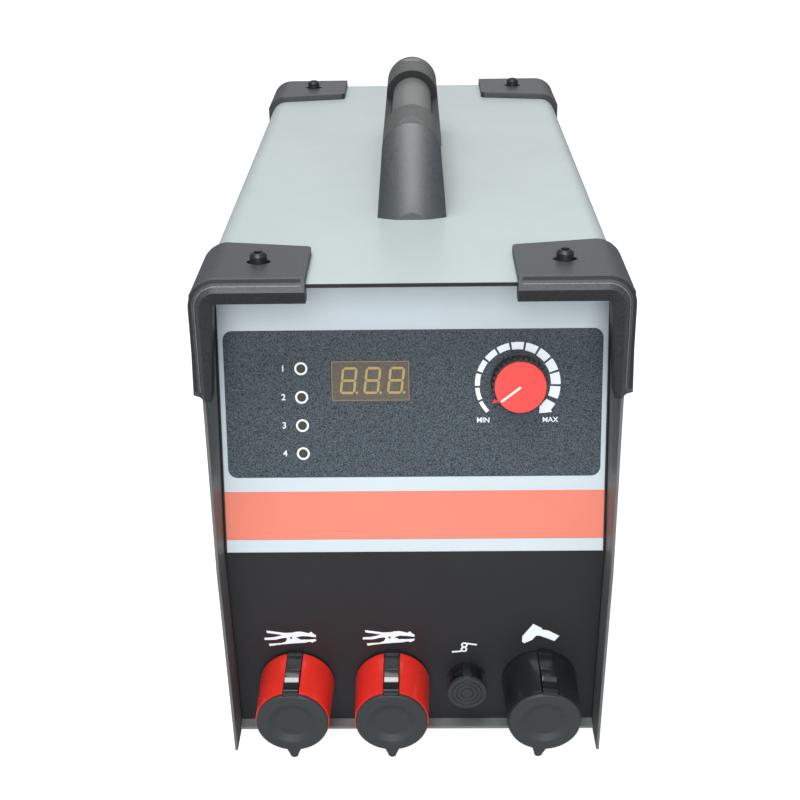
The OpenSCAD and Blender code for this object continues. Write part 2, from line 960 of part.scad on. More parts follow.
// Insulating body: front shoulder in the collar, threaded neck through the panel
module socket_body(i) {
    color(rubber_black)
    on_lower(socket_xs[i], socket_h)
        difference() {
            union() {
                rod(collar_ri - fit, ring_t + floor_t, socket_len - mouth_d);
                rod(neck_r, -panel_t - neck_len, ring_t + floor_t);
            }
            rod(contact_r + fit, -panel_t - neck_len - cut, socket_len);
        }
}

// Brass contact with its bore in front and its stud behind
module socket_contact(i) {
    rear = -panel_t - neck_len;
    color([0.8, 0.65, 0.3])
    on_lower(socket_xs[i], socket_h)
        difference() {
            union() {
                rod(contact_r, rear, socket_len - mouth_d);
                rod(contact_flange_r, rear - contact_flange_t, rear);
                rod(stud_r, rear - contact_flange_t - stud_len, rear);
            }
            rod(contact_bore_r, rear + contact_blind, socket_len);
        }
}

// Rubber strap with its ring under the collar and its rounded end at the cap's hinge
module socket_strap(i) {
    pivot = socket_len - strap_t / 2;
    color(rubber_black)
    on_lower(socket_xs[i], socket_h)
        rotate(strap_turns[i]) {
            difference() {
                rod(collar_rear_r, 0, ring_t);
                rod(neck_r + fit, -cut, ring_t + cut);
            }
            translate([-strap_w / 2, strap_r - strap_t / 2, 0]) cube([strap_w, strap_t, pivot]);
            translate([-strap_w / 2, strap_r, 0]) cube([strap_w, strap_t / 2 + root_h, root_len]);
            translate([-strap_w / 2, strap_r, pivot])
                rotate([0, 90, 0]) cylinder(r = strap_t / 2, h = strap_w);
        }
}

// Tapered pull tab with a round tip
module tab_outline() {
    root = -cap_r * tab_share;
    tip = tab_w / 2 - cap_r - tab_reach;
    polygon([[-tab_base / 2, root], [-tab_w / 2, tip], [tab_w / 2, tip], [tab_base / 2, root]]);
    translate([0, tip]) circle(tab_w / 2);
}

// Hinged rubber cap with a dished face, a boss behind and a pull tab below
module socket_cap(i) {
    low = socket_len + cap_gap;
    high = low + cap_t;
    color(rubber_black)
    on_lower(socket_xs[i], socket_h)
        rotate(strap_turns[i]) {
            rotate_extrude()
                polygon([[0, low - cap_gap - boss_h], [boss_r, low - cap_gap - boss_h], [boss_r, low],
                    [cap_r, low], [cap_r, high - rim_cut], [cap_r - rim_cut, high],
                    [dish_r + dish_slope, high], [dish_r, high - dish_d], [0, high - dish_d]]);
            translate([0, 0, low]) linear_extrude(tab_t) tab_outline();
        }
}

// Threaded shell of the control connector with its outer ring nut
module connector_shell() {
    color([0.2, 0.2, 0.21])
    on_lower(conn_x, conn_h)
        difference() {
            union() {
                rod(conn_r, -panel_t - conn_neck_len, conn_len);
                rod(conn_ring_r, conn_ring_t, conn_ring_t + conn_nut_t);
            }
            rod(conn_r - conn_wall, -panel_t - conn_neck_len - cut, conn_len + cut);
        }
}

// Insulating insert with its contact pins
module connector_insert() {
    face = conn_len - conn_pocket;
    color([0.12, 0.12, 0.13])
    on_lower(conn_x, conn_h) {
        rod(conn_r - conn_wall - fit, -panel_t - conn_neck_len, face);
        for (i = [0 : conn_pins - 1])
            rotate(i * 360 / conn_pins)
                translate([0, conn_pin_ring_r, 0])
                    rod(conn_pin_r, -panel_t - conn_neck_len, face + conn_pin_len);
    }
}

// Strap of the connector's cap, with its ring under the ring nut
module connector_strap() {
    pivot = conn_len - conn_strap_t / 2;
    color(rubber_black)
    on_lower(conn_x, conn_h) {
        difference() {
            rod(conn_strap_r, 0, conn_ring_t);
            rod(conn_r + fit, -cut, conn_ring_t + cut);
        }
        translate([-conn_strap_w / 2, conn_strap_r - conn_strap_t / 2, 0])
            cube([conn_strap_w, conn_strap_t, pivot]);
        translate([-conn_strap_w / 2, conn_strap_r, pivot])
            rotate([0, 90, 0]) cylinder(r = conn_strap_t / 2, h = conn_strap_w);
    }
}

// Hinged cap of the connector with ring grooves in its face
module connector_cap() {
    low = conn_len + cap_gap;
    high = low + conn_cap_t;
    color(rubber_black)
    on_lower(conn_x, conn_h)
        difference() {
            union() {
                rod(conn_cap_r, low, high);
                rod(conn_boss_r, low - cap_gap - conn_boss_h, low);
            }
            for (groove_share = groove_shares)
                difference() {
                    rod(conn_cap_r * groove_share, high - groove_d, high + cut);
                    rod(conn_cap_r * groove_share - groove_w, high - groove_d - cut, high + 2 * cut);
                }
        }
}

// Nuts behind the panels and on the contacts' studs
module panel_nuts() {
    bar_face = -panel_t - neck_len - contact_flange_t - bar_t;
    color(zinc) {
        for (x = socket_xs)
            on_lower(x, socket_h) {
                hex_nut(socket_nut_w, neck_r + fit, -panel_t - socket_nut_h, -panel_t);
                hex_nut(stud_nut_w, stud_r + fit, bar_face - stud_nut_h, bar_face);
            }
        on_lower(conn_x, conn_h) hex_nut(conn_nut_w, conn_r + fit, -panel_t - conn_nut_h, -panel_t);
        on_upper(knob_x, knob_s) hex_nut(pot_nut_w, bush_r + fit, film_top, film_top + pot_nut_h);
        on_rear(gland_x, gland_h)
            hex_nut(gland_hex_w, gland_neck_r + fit, -panel_t - gland_nut_h, -panel_t);
    }
}

// Section of a guard's lip: X is the distance outside the cover's face, Y the reach ahead of its edge
module lip_outline() {
    inner = -cover_t - lip_gap;
    polygon([[guard_t, lip_gap], [guard_t, lip_riser],
        [ridge_rise, guard_nose * ridge_share], [-guard_hook * return_share, guard_nose],
        [-guard_hook, guard_nose * return_reach_share], [-guard_hook, -hook_back],
        [inner, -hook_back], [inner, lip_gap]]);
}

// Hooked lip along the top edge, round the corner and down the leg, in the leaning edge's frame
module guard_lip() {
    side = cover_w / 2;
    translate([0, y_front + lean_back, z_top])
        rotate([90 - edge_lean, 0, 0]) {
            translate([side - guard_w, 0, 0])
                rotate([90, 0, 90])
                    linear_extrude(guard_w - cover_r) lip_outline();
            translate([side - cover_r, -cover_r, 0])
                rotate_extrude(angle = 90)
                    translate([cover_r, 0]) lip_outline();
            translate([side, -cover_r, 0])
                rotate([90, 0, 0])
                    linear_extrude(guard_leg / cos(edge_lean) - cover_r) lip_outline();
        }
}

// Plan of a guard's plates: a slanted back edge and a rounded free corner
module guard_plan() {
    free = cover_w / 2 - guard_w;
    face = cover_w / 2 + guard_t;
    front = y_front - guard_d;
    back = y_front + lean_back + guard_d;
    slope = guard_flare / (guard_w - cover_r);
    turn = atan(slope);
    x_mid = free + guard_corner_r;
    y_mid = back - guard_flare + slope * guard_corner_r - guard_corner_r / cos(turn);
    translate([x_mid, y_mid]) circle(guard_corner_r);
    polygon([[free, front], [face, front], [face, back + slope * (cover_r + guard_t)],
        [x_mid - guard_corner_r * sin(turn), y_mid + guard_corner_r * cos(turn)],
        [x_mid, y_mid], [free, y_mid]]);
}

// Plates of the front right guard, following the cover's top, corner and side
module guard_plates() {
    side = cover_w / 2;
    y_edge = y_front + lean_back;
    rise = guard_t * tan(edge_lean);
    drop = guard_leg * tan(edge_lean);
    difference() {
        intersection() {
            along_y(y_front - guard_d, 3 * guard_d)
                round_top(cover_w + 2 * guard_t, foot_gap, z_top + guard_t, cover_r + guard_t);
            along_x(side - guard_w, guard_w + guard_t)
                polygon([[y_edge - lip_riser + rise, z_top + guard_t],
                    [y_edge + guard_d + rise, z_top + guard_t],
                    [y_edge + guard_d - drop, z_top - guard_leg],
                    [y_edge - lip_riser - drop, z_top - guard_leg]]);
            translate([0, 0, z_top - guard_leg]) linear_extrude(guard_leg + guard_t) guard_plan();
        }
        along_y(y_front - 2 * guard_d, 5 * guard_d)
            round_top(cover_w + 2 * guard_gap, foot_gap - cut, z_top + guard_gap, cover_r + guard_gap);
        translate([side - guard_screw_in, y_edge + guard_screw_back, z_top - cut])
            linear_extrude(guard_t + 2 * cut) slot_outline(guard_slot_len, 2 * (m5_r + hole_gap));
    }
}

// Corner guard with a tapered leg and a slanted leg end; side 1 is the left, end 1 is the rear
module guard(side, end) {
    low = z_top - guard_leg;
    inner = cover_w / 2 - guard_hook - cut;
    outer = cover_w / 2 + guard_t + cut;
    face = cover_w / 2 + guard_t;
    crown = z_top + guard_t + cut;
    bend = z_top - cover_r;
    hook = cover_w / 2 - guard_hook;
    color(guard_black)
    translate([0, y_mid, 0])
        mirror([0, end, 0])
            translate([0, -y_mid, 0])
                mirror([side, 0, 0])
                    difference() {
                        union() {
                            guard_plates();
                            guard_lip();
                        }
                        along_y(y_front - guard_d, 3 * guard_d)
                            polygon([[inner, low], [outer, low + leg_slant],
                                [outer, low - guard_leg], [inner, low - guard_leg]]);
                        along_y(y_front - guard_d, 3 * guard_d) {
                            polygon([[face - leg_taper, crown], [face, low], [outer, low], [outer, crown]]);
                            polygon([[hook, bend], [hook - guard_hook, bend],
                                [hook - guard_hook, low - cut], [hook + hook_taper, low - cut]]);
                        }
                    }
}

// Socket-head screws of the guards, with their nuts under the cover
module guard_screws() {
    color([0.14, 0.14, 0.15])
    at_guard_screws() {
        difference() {
            union() {
                rod(m5_head_r, guard_t, guard_t + m5_head_h - m5_head_cut);
                translate([0, 0, guard_t + m5_head_h - m5_head_cut])
                    cylinder(r1 = m5_head_r, r2 = m5_head_r - m5_head_cut, h = m5_head_cut);
            }
            hex_rod(m5_key_w, guard_t + m5_head_h - m5_key_d, guard_t + m5_head_h + cut);
        }
        rod(m5_r, -cover_t - m5_nut_h - cut, guard_t);
        hex_nut(m5_nut_w, m5_r + fit, -cover_t - m5_nut_h, -cover_t);
    }
}

// Pan head with a cross recess
module pan_head() {
    difference() {
        rod(m4_head_r, 0, m4_head_h);
        for (turn = cross_turns)
            rotate(turn)
                translate([-cross_len / 2, -cross_w / 2, m4_head_h - cross_d])
                    cube([cross_len, cross_w, cross_d + cut]);
    }
}

// Pan-head screws of the cover's sides and of the fan
module panel_screws() {
    color([0.2, 0.2, 0.21]) {
        at_cover_screws() {
            pan_head();
            rod(m4_r, -flange_d / 2, 0);
            hex_nut(m4_nut_w, m4_r + fit, -cover_t - sheet_gap - panel_t - m4_nut_h,
                -cover_t - sheet_gap - panel_t);
        }
        at_fan_screws() {
            pan_head();
            rod(m4_r, -panel_t - flange_d, 0);
        }
    }
}

// Outline of the handle across its length
module handle_arch() {
    spring = z_top + handle_h - handle_top_w / 2;
    polygon([[-handle_foot_w / 2, z_top], [handle_foot_w / 2, z_top],
        [handle_top_w / 2, spring], [-handle_top_w / 2, spring]]);
    translate([0, spring]) circle(handle_top_w / 2);
}

// Bowed and leaning front end of the handle, as a tilted cylinder
module handle_end() {
    translate([0, handle_y + y_front + handle_bow_r, z_top])
        rotate([-atan(handle_lean / handle_h), 0, 0])
            rod(handle_bow_r, -handle_h, 2 * handle_h);
}

// Middle of the handle along the machine
handle_mid = y_front + handle_y + handle_len / 2;

// Repeats children as they are and mirrored about the handle's middle
module both_handle_ends() {
    children();
    translate([0, handle_mid, 0])
        mirror([0, 1, 0])
            translate([0, -handle_mid, 0]) children();
}

// Fingernail notch in the front support's crown, deepest at its front
module handle_notch() {
    translate([-handle_top_w / 2, y_front + handle_y + handle_lean + notch_in, z_top + handle_h - notch_d])
        rotate([atan(notch_d / notch_len), 0, 0])
            cube([handle_top_w, 2 * notch_len, 2 * notch_d]);
}

// Moulded handle: two supports, a bar with side rails and a seat for the grip
module handle_body() {
    spring = z_top + handle_h - handle_top_w / 2;
    seat_low = z_top + finger_h + grip_floor;
    grip_from = handle_mid - grip_len / 2;
    color([0.3, 0.33, 0.37])
    difference() {
        intersection() {
            along_y(y_front + handle_y, handle_len) handle_arch();
            union() {
                both_handle_ends() handle_end();
                block([-handle_foot_w, y_front + handle_y + handle_bow_r, z_top],
                    [handle_foot_w, y_front + handle_y + handle_len - handle_bow_r, z_top + handle_h + cut]);
            }
        }
        along_x(-handle_foot_w, 2 * handle_foot_w)
            translate([handle_mid, 0])
                round_top(finger_len, z_top - cut, z_top + finger_h, finger_r);
        block([-handle_foot_w, grip_from, spring],
            [handle_foot_w, grip_from + grip_len, z_top + handle_h + cut]);
        block([-grip_w / 2 - fit, grip_from, seat_low],
            [grip_w / 2 + fit, grip_from + grip_len, z_top + handle_h]);
        both_handle_ends() handle_notch();
        at_handle_bolts() rod(m5_r + fit, -cut, handle_bolt_depth + cut);
    }
}

// Smooth grip insert between the supports
module handle_grip() {
    seat_low = z_top + finger_h + grip_floor;
    crown = z_top + handle_h - grip_drop - grip_w / 2;
    color([0.5, 0.52, 0.54])
    along_y(handle_mid - grip_len / 2 + fit, grip_len - 2 * fit) {
        translate([-grip_w / 2, seat_low]) square([grip_w, crown - seat_low]);
        intersection() {
            translate([0, crown]) circle(grip_w / 2);
            translate([-grip_w / 2, crown]) square([grip_w, grip_w]);
        }
    }
}

// Bolts that hold the handle from inside the cover
module handle_bolts() {
    color(zinc)
    at_handle_bolts() {
        difference() {
            rod(m5_head_r, -cover_t - m5_head_h, -cover_t);
            hex_rod(m5_key_w, -cover_t - m5_head_h - cut, -cover_t - m5_head_h + m5_key_d);
        }
        rod(m5_r, -cover_t, handle_bolt_depth);
    }
}

// Tapered rubber feet with a pocket for the screw's head
module rubber_feet() {
    color(rubber_black)
    at_feet()
        translate([0, 0, -z_under])
            difference() {
                cylinder(r1 = foot_r, r2 = foot_top_r, h = z_under);
                rod(foot_pocket_r, -cut, foot_pocket_h);
                rod(m4_r + hole_gap, -cut, z_under + cut);
            }
}

// Screws and nuts that hold the feet to the tray
module foot_screws() {
    color(zinc)
    at_feet() {
        rod(m4_head_r, foot_pocket_h - z_under - m4_head_h, foot_pocket_h - z_under);
        rod(m4_r, foot_pocket_h - z_under, tray_t + m4_nut_h + cut);
        hex_nut(m4_nut_w, m4_r + fit, tray_t, tray_t + m4_nut_h);
    }
}

// Rivets through the tray and the panels' bottom flanges
module tray_rivets() {
    color(zinc)
    at_rivets() {
        rod(rivet_head_r, -rivet_head_h, 0);
        rod(rivet_r, 0, tray_t + panel_t);
        rod(rivet_head_r, tray_t + panel_t, tray_t + panel_t + rivet_head_h);
    }
}

// Layout of the capacitor bank
can_pitch = 2 * can_r + can_gap;
can_x = can_pitch / 2;
bank_low = y_panel + bank_y;
bank_len = bank_rows * can_pitch + can_gap;
first_row = bank_low + can_gap + can_r;
last_row = first_row + (bank_rows - 1) * can_pitch;
frame_x = can_pitch + frame_wall_gap;
z_bar = z_deck + can_h + post_h;
z_shelf = z_deck + deck_h;

// Repeats children at the foot of each can; the child's X points away from the middle
module at_cans() {
    for (side = [0, 1], i = [0 : bank_rows - 1])
        mirror([side, 0, 0])
            translate([can_x, first_row + i * can_pitch, z_deck]) children();
}

// Electrolytic cans with their two terminal posts
module capacitors() {
    color([0.15, 0.25, 0.4])
    at_cans() {
        rod(can_r, 0, can_h);
        for (s = [-1, 1])
            translate([s * post_out, 0, 0]) rod(post_r, can_h, can_h + post_h);
    }
}

// Welded frame: two walls, a clamp plate round the cans and a deck for the boards
module capacitor_frame() {
    clamp_z = z_deck + can_h * clamp_share;
    bank_high = bank_low + bank_len;
    color(zinc)
    difference() {
        union() {
            for (s = [0, 1])
                mirror([s, 0, 0])
                    block([frame_x, bank_low, z_deck], [frame_x + wall_t, bank_high, z_shelf]);
            block([-frame_x, bank_low, clamp_z], [frame_x, bank_high, clamp_z + wall_t]);
            block([-frame_x, bank_low, z_shelf - wall_t], [frame_x, bank_high, z_shelf]);
            at_board_corners() rod(boss_out_r, 0, boss_out_h);
        }
        at_cans() rod(can_r + frame_gap, can_h * clamp_share - cut, can_h * clamp_share + wall_t + cut);
    }
}

// Repeats children at the power board's corners, on the deck
module at_board_corners() {
    for (sx = [-1, 1], y = [boss_out_r, power_board_l - boss_out_r])
        translate([sx * (power_board_w / 2 - boss_out_r), bank_low + boss_out_r + y, z_shelf]) children();
}

// Power board with its relay and driver blocks
module power_board() {
    low = z_shelf + boss_out_h;
    y_low = bank_low + boss_out_r;
    color([0.1, 0.35, 0.2]) {
        block([-power_board_w / 2, y_low, low], [power_board_w / 2, y_low + power_board_l, low + board_t]);
        for (x = [-chip_w, chip_w])
            translate([x - chip_w / 2, y_low + chip_w, low + board_t]) cube([chip_w, chip_w, chip_h]);
    }
}

// Finned heat sink standing on the deck, fins down
module heat_sink() {
    y_high = bank_low + bank_len - can_gap;
    pitch = (sink_w - fin_t) / (sink_fins - 1);
    color([0.75, 0.76, 0.78])
    translate([-sink_w / 2, y_high - sink_l, z_shelf]) {
        translate([0, 0, sink_h - sink_base]) cube([sink_w, sink_l, sink_base]);
        for (i = [0 : sink_fins - 1])
            translate([i * pitch, 0, 0]) cube([fin_t, sink_l, sink_h - sink_base + fit]);
    }
}

// Thyristor module on the heat sink, with its two terminals
module thyristor() {
    y_high = bank_low + bank_len - can_gap - (sink_l - thyristor_l) / 2;
    y_low = y_high - thyristor_l;
    z_low = z_shelf + sink_h;
    color([0.2, 0.2, 0.22]) {
        block([-thyristor_w / 2, y_low, z_low], [thyristor_w / 2, y_high, z_low + thyristor_h]);
        for (y = [y_low + thyristor_l / 4, y_high - thyristor_l / 4])
            translate([0, y, z_low + thyristor_h]) rod(terminal_r, 0, terminal_h);
    }
}

// Copper bars: earth bar to two sockets, positive bar round the bank, gun bar to the thyristor
module bus_bars() {
    half = busbar_w / 2;
    y_lug = y_panel + panel_t + neck_len + contact_flange_t;
    z_socket = foot_gap + socket_h;
    z_run = z_shelf + post_h;
    y_term = bank_low + bank_len - can_gap - (sink_l - thyristor_l) / 2 - 3 * thyristor_l / 4;
    z_term = z_shelf + sink_h + thyristor_h + terminal_h;
    y_rise = bank_low + bank_len - can_gap - sink_l - 2 * bar_t;
    post_in = can_x - post_out;
    post_far = can_x + post_out;
    color([0.8, 0.5, 0.3])
    difference() {
        union() {
            block([socket_xs[0] - half, y_lug, z_socket - half],
                [socket_xs[1] + half, y_lug + bar_t, z_socket + half]);
            block([socket_xs[1] - half, y_lug, z_socket - half],
                [socket_xs[1] + half, y_lug + bar_t, z_bar + bar_t]);
            block([socket_xs[1] - half, y_lug, z_bar], [socket_xs[1] + half, first_row, z_bar + bar_t]);
            block([-post_in - half, first_row - half, z_bar],
                [post_in + half, last_row + half, z_bar + bar_t]);
            for (s = [0, 1])
                mirror([s, 0, 0])
                    block([post_far - half, first_row - half, z_bar],
                        [post_far + half, last_row + can_r, z_bar + bar_t]);
            block([-post_far, last_row + can_r - busbar_w, z_bar],
                [post_far, last_row + can_r, z_bar + bar_t]);
            block([socket_xs[2] - half, y_lug, z_socket - half],
                [socket_xs[2] + half, y_lug + bar_t, z_run + bar_t]);
            block([socket_xs[2] - half, y_lug, z_run],
                [socket_xs[2] + half, y_rise + bar_t, z_run + bar_t]);
            block([socket_xs[2] - half, y_rise, z_run],
                [socket_xs[2] + half, y_rise + bar_t, z_term + bar_t]);
            block([socket_xs[2] - half, y_rise, z_term],
                [socket_xs[2] + half, y_term + half, z_term + bar_t]);
            block([-half, y_term - half, z_term], [socket_xs[2] + half, y_term + half, z_term + bar_t]);
        }
        for (x = socket_xs)
            translate([x, y_lug - cut, z_socket])
                rotate([-90, 0, 0]) cylinder(r = stud_r + fit, h = bar_t + 2 * cut);
    }
}

// Layout of the charging transformer behind the capacitor frame
core_y = bank_low + bank_len + core_y_gap + coil_t + core_d / 2;
core_leg_w = core_w / 3;
core_window_w = core_w / 6;
core_window_h = core_h - core_leg_w;

// Laminated transformer core with two windows
module transformer_core() {
    color([0.35, 0.36, 0.38])
    translate([0, core_y, z_deck])
        difference() {
            block([-core_w / 2, -core_d / 2, 0], [core_w / 2, core_d / 2, core_h]);
            for (s = [0, 1])
                mirror([s, 0, 0])
                    block([core_leg_w / 2, -core_d / 2 - cut, core_leg_w / 2],
                        [core_leg_w / 2 + core_window_w, core_d / 2 + cut, core_leg_w / 2 + core_window_h]);
        }
}

// Taped winding round the core's middle leg
module transformer_coil() {
    low = core_leg_w / 2 + fit;
    high = core_leg_w / 2 + core_window_h - fit;
    hole_w = core_leg_w / 2 + fit;
    hole_d = core_d / 2 + fit;
    color([0.85, 0.7, 0.3])
    translate([0, core_y, z_deck])
        difference() {
            block([-hole_w - coil_t, -hole_d - coil_t, low], [hole_w + coil_t, hole_d + coil_t, high]);
            block([-hole_w, -hole_d, low - cut], [hole_w, hole_d, high + cut]);
        }
}

// Layout of the fan
duct_r = fan_size / 2 - fan_wall;
impeller_from = -panel_t - fan_d + fan_axle_gap;
impeller_to = -panel_t - fan_plate_t - fan_axle_gap;

// Square fan frame with its duct, motor plate and struts
module fan_frame() {
    color([0.12, 0.12, 0.13])
    difference() {
        on_rear(0, fan_h) {
            difference() {
                translate([0, 0, -panel_t - fan_d])
                    linear_extrude(fan_d) round_rect(fan_size, fan_size, fan_corner_r);
                rod(duct_r, -panel_t - fan_d - cut, -panel_t + cut);
            }
            difference() {
                union() {
                    rod(fan_hub_r, -panel_t - fan_plate_t, -panel_t);
                    for (turn = spoke_turns)
                        rotate(turn)
                            translate([-duct_r - fan_wall / 2, -fan_strut_w / 2, -panel_t - fan_plate_t])
                                cube([2 * duct_r + fan_wall, fan_strut_w, fan_plate_t]);
                }
                rod(fan_axle_r + run_fit, -panel_t - fan_plate_t - cut, -panel_t + cut);
            }
        }
        at_fan_screws() rod(m4_r + fit, -panel_t - fan_d - cut, -panel_t + cut);
    }
}

// Fan wheel with its axle in the motor plate
module fan_impeller() {
    tip_r = duct_r - fan_tip_gap - blade_t;
    depth = impeller_to - impeller_from;
    chord = (depth - 2 * blade_t) / sin(blade_tilt);
    color([0.1, 0.1, 0.11])
    on_rear(0, fan_h) {
        rod(fan_hub_r, impeller_from, impeller_to);
        rod(fan_axle_r, impeller_to, -panel_t - fan_axle_gap);
        for (i = [0 : blade_count - 1])
            rotate(i * 360 / blade_count)
                translate([fan_hub_r - fan_hub_r / 8, 0, impeller_from + depth / 2])
                    rotate([blade_tilt, 0, 0])
                        translate([0, -chord / 2, -blade_t / 2])
                            cube([tip_r - fan_hub_r + fan_hub_r / 8, chord, blade_t]);
    }
}

// Mains switch housing with a pocket for the rocker
module switch_body() {
    pocket_w = rocker_w + 2 * rocker_side_gap;
    pocket_l = rocker_l + 2 * rocker_gap;
    color([0.1, 0.1, 0.11])
    on_rear(switch_x, switch_h)
        difference() {
            union() {
                linear_extrude(switch_flange_t) square([switch_flange_w, switch_flange_l], center = true);
                translate([0, 0, -switch_barrel_d])
                    linear_extrude(switch_barrel_d + cut)
                        square([switch_barrel_w, switch_barrel_l], center = true);
            }
            translate([0, 0, -rocker_pocket])
                linear_extrude(rocker_pocket + switch_flange_t + cut)
                    square([pocket_w, pocket_l], center = true);
            translate([-rocker_w, 0, -rocker_pivot])
                rotate([0, 90, 0]) cylinder(r = rocker_pin_r + run_fit, h = 2 * rocker_w);
        }
}

// Rocker with its two pivot pins, resting in the off position
module switch_rocker() {
    half = rocker_l / 2;
    color([0.7, 0.1, 0.08])
    on_rear(switch_x, switch_h)
        translate([0, 0, -rocker_pivot])
            rotate([-rocker_travel / 2, 0, 0]) {
                translate([-rocker_w / 2, 0, 0])
                    rotate([90, 0, 90])
                        linear_extrude(rocker_w)
                            polygon([[-half, -rocker_side], [-half, rocker_rise], [0, rocker_middle],
                                [half, rocker_rise], [half, -rocker_side],
                                [half / 2, -rocker_keel], [-half / 2, -rocker_keel]]);
                translate([-rocker_w / 2 - rocker_pin_len, 0, 0])
                    rotate([0, 90, 0]) cylinder(r = rocker_pin_r, h = rocker_w + 2 * rocker_pin_len);
            }
}

// Cable gland: hexagon, domed end and threaded neck round one through bore
module cable_gland() {
    color([0.13, 0.13, 0.14])
    on_rear(gland_x, gland_h)
        difference() {
            union() {
                hex_rod(gland_hex_w, 0, gland_hex_h);
                rod(gland_dome_r, gland_hex_h, gland_hex_h + gland_dome_h * dome_share);
                translate([0, 0, gland_hex_h + gland_dome_h * dome_share])
                    cylinder(r1 = gland_dome_r, r2 = (gland_dome_r + gland_bore_r) / 2,
                        h = gland_dome_h * (1 - dome_share));
                rod(gland_neck_r, -panel_t - gland_neck_len, 0);
            }
            rod(gland_bore_r, -panel_t - gland_neck_len - cut, gland_hex_h + gland_dome_h + cut);
        }
}

cover();
base_tray();
front_panel();
rear_panel();
overlay_film();
control_field();
accent_band();
display_module();
indicator_lamps();
control_board();
board_standoffs();
potentiometer();
potentiometer_shaft();
knob_body();
knob_cap();
socket_collar(0);  // socket_collar_left
socket_collar(1);  // socket_collar_middle
socket_collar(2);  // socket_collar_right
socket_body(0);  // socket_body_left
socket_body(1);  // socket_body_middle
socket_body(2);  // socket_body_right
socket_contact(0);  // socket_contact_left
socket_contact(1);  // socket_contact_middle
socket_contact(2);  // socket_contact_right
socket_strap(0);  // socket_strap_left
socket_strap(1);  // socket_strap_middle
socket_strap(2);  // socket_strap_right
socket_cap(0);  // socket_cap_left
socket_cap(1);  // socket_cap_middle
socket_cap(2);  // socket_cap_right
connector_shell();
connector_insert();
connector_strap();
connector_cap();
panel_nuts();
handle_body();
handle_grip();
handle_bolts();
guard(1, 0);  // guard_front_left
guard(0, 0);  // guard_front_right
guard(1, 1);  // guard_rear_left
guard(0, 1);  // guard_rear_right
guard_screws();
panel_screws();
rubber_feet();
foot_screws();
tray_rivets();
capacitors();
capacitor_frame();
bus_bars();
transformer_core();
transformer_coil();
power_board();
heat_sink();
thyristor();
fan_frame();
fan_impeller();
switch_body();
switch_rocker();
cable_gland();
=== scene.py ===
import json
import math

import bmesh
import bpy
from mathutils import Matrix, Vector
from mathutils.bvhtree import BVHTree


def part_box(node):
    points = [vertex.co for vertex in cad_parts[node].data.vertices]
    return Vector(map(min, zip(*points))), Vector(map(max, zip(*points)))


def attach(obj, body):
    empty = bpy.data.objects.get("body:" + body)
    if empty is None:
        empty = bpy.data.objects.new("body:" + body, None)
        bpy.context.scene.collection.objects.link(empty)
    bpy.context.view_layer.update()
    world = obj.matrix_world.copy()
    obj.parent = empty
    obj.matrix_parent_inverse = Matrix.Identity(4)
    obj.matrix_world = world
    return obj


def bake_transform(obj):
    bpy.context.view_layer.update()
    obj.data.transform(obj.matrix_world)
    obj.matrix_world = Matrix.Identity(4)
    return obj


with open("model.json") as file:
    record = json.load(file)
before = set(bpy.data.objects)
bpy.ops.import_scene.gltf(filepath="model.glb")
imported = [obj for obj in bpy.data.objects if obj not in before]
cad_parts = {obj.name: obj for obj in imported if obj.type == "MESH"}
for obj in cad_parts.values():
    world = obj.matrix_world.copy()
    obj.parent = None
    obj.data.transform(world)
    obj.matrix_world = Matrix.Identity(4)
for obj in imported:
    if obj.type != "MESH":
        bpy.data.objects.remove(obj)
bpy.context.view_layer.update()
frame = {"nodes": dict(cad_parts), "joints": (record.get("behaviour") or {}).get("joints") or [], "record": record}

MM = 0.001
FIXED = "cabinet"
nodes = frame["nodes"]
record = frame["record"]
joints = {joint["name"]: joint for joint in frame["joints"]}

# Camera, fitted to the photograph: place in metres, angles in degrees, focal length in pixels
CAMERA_PLACE = (0.00398, -0.72638, 0.51189)
CAMERA_PITCH = 27.9
CAMERA_YAW = 1.12
CAMERA_ROLL = -0.99
FOCAL_PX = 1194.89
IMAGE_PX = 800
SENSOR_MM = 36.0

# Light: world level, and each lamp's place, size in metres and power in watts
AMBIENT = 0.3
LAMPS = {
    "top_lamp": ((-0.2, -0.3, 2.1), 1.4, 12.5),
    "key_lamp": ((-0.2, -0.9, 1.9), 0.7, 9.0),
    "front_lamp": ((-0.02, -1.52, 0.93), 0.66, 10.0),
    "low_lamp": ((0.0, -1.9, 0.12), 0.5, 5.0),
    "rear_lamp": ((0.2, 2.2, 1.4), 1.6, 5.0),
}
LAMP_AIM = Vector((0, 0, 0.15))
FLOOR_SIZE = 12.0
FLOOR_SHARE = 0.5
FLOOR_GLOW = 0.85
WHITE = (1, 1, 1, 1)

# Prints lie between these heights over the face that carries them, in millimetres
PRINT_LOW = -0.05
PRINT_HIGH = 0.05
# Steps along a disc, along half a ring and along a shorter piece of a ring
DISC_STEPS = 12
RING_STEPS = 20
SECTOR_STEPS = 8
# Height of a capital as a share of the font's size, and what its strokes gain as a share of its height
CAPITAL_SHARE = 0.72
STROKE_GAIN = 0.02
# Faces of the overlay above the panel, in millimetres
FILM_FACE = 0.4
FIELD_FACE = 0.6

# Dial: places in millimetres from the knob's axis, angles in degrees
DIAL_CENTRE = (-0.4, -1.0)
DIAL_R = 22.5
DIAL_START = 223.0
DIAL_PITCH = 20.6
DIAL_GAP = 3.2
DIAL_MARKS = 12
DIAL_T = (2.0, 5.4)
ARROW = [(15.2, -8.0), (11.6, -12.0), (11.5, -15.8), (18.4, -15.1), (17.5, -14.1), (19.9, -10.7)]
MIN_PLACE = (-18.5, -20.4)
MAX_PLACE = (16.9, -20.4)
LETTER_H = 2.8
POINTER_REACH = 12.4
POINTER_W = 1.1
POINTER_START = 217.0

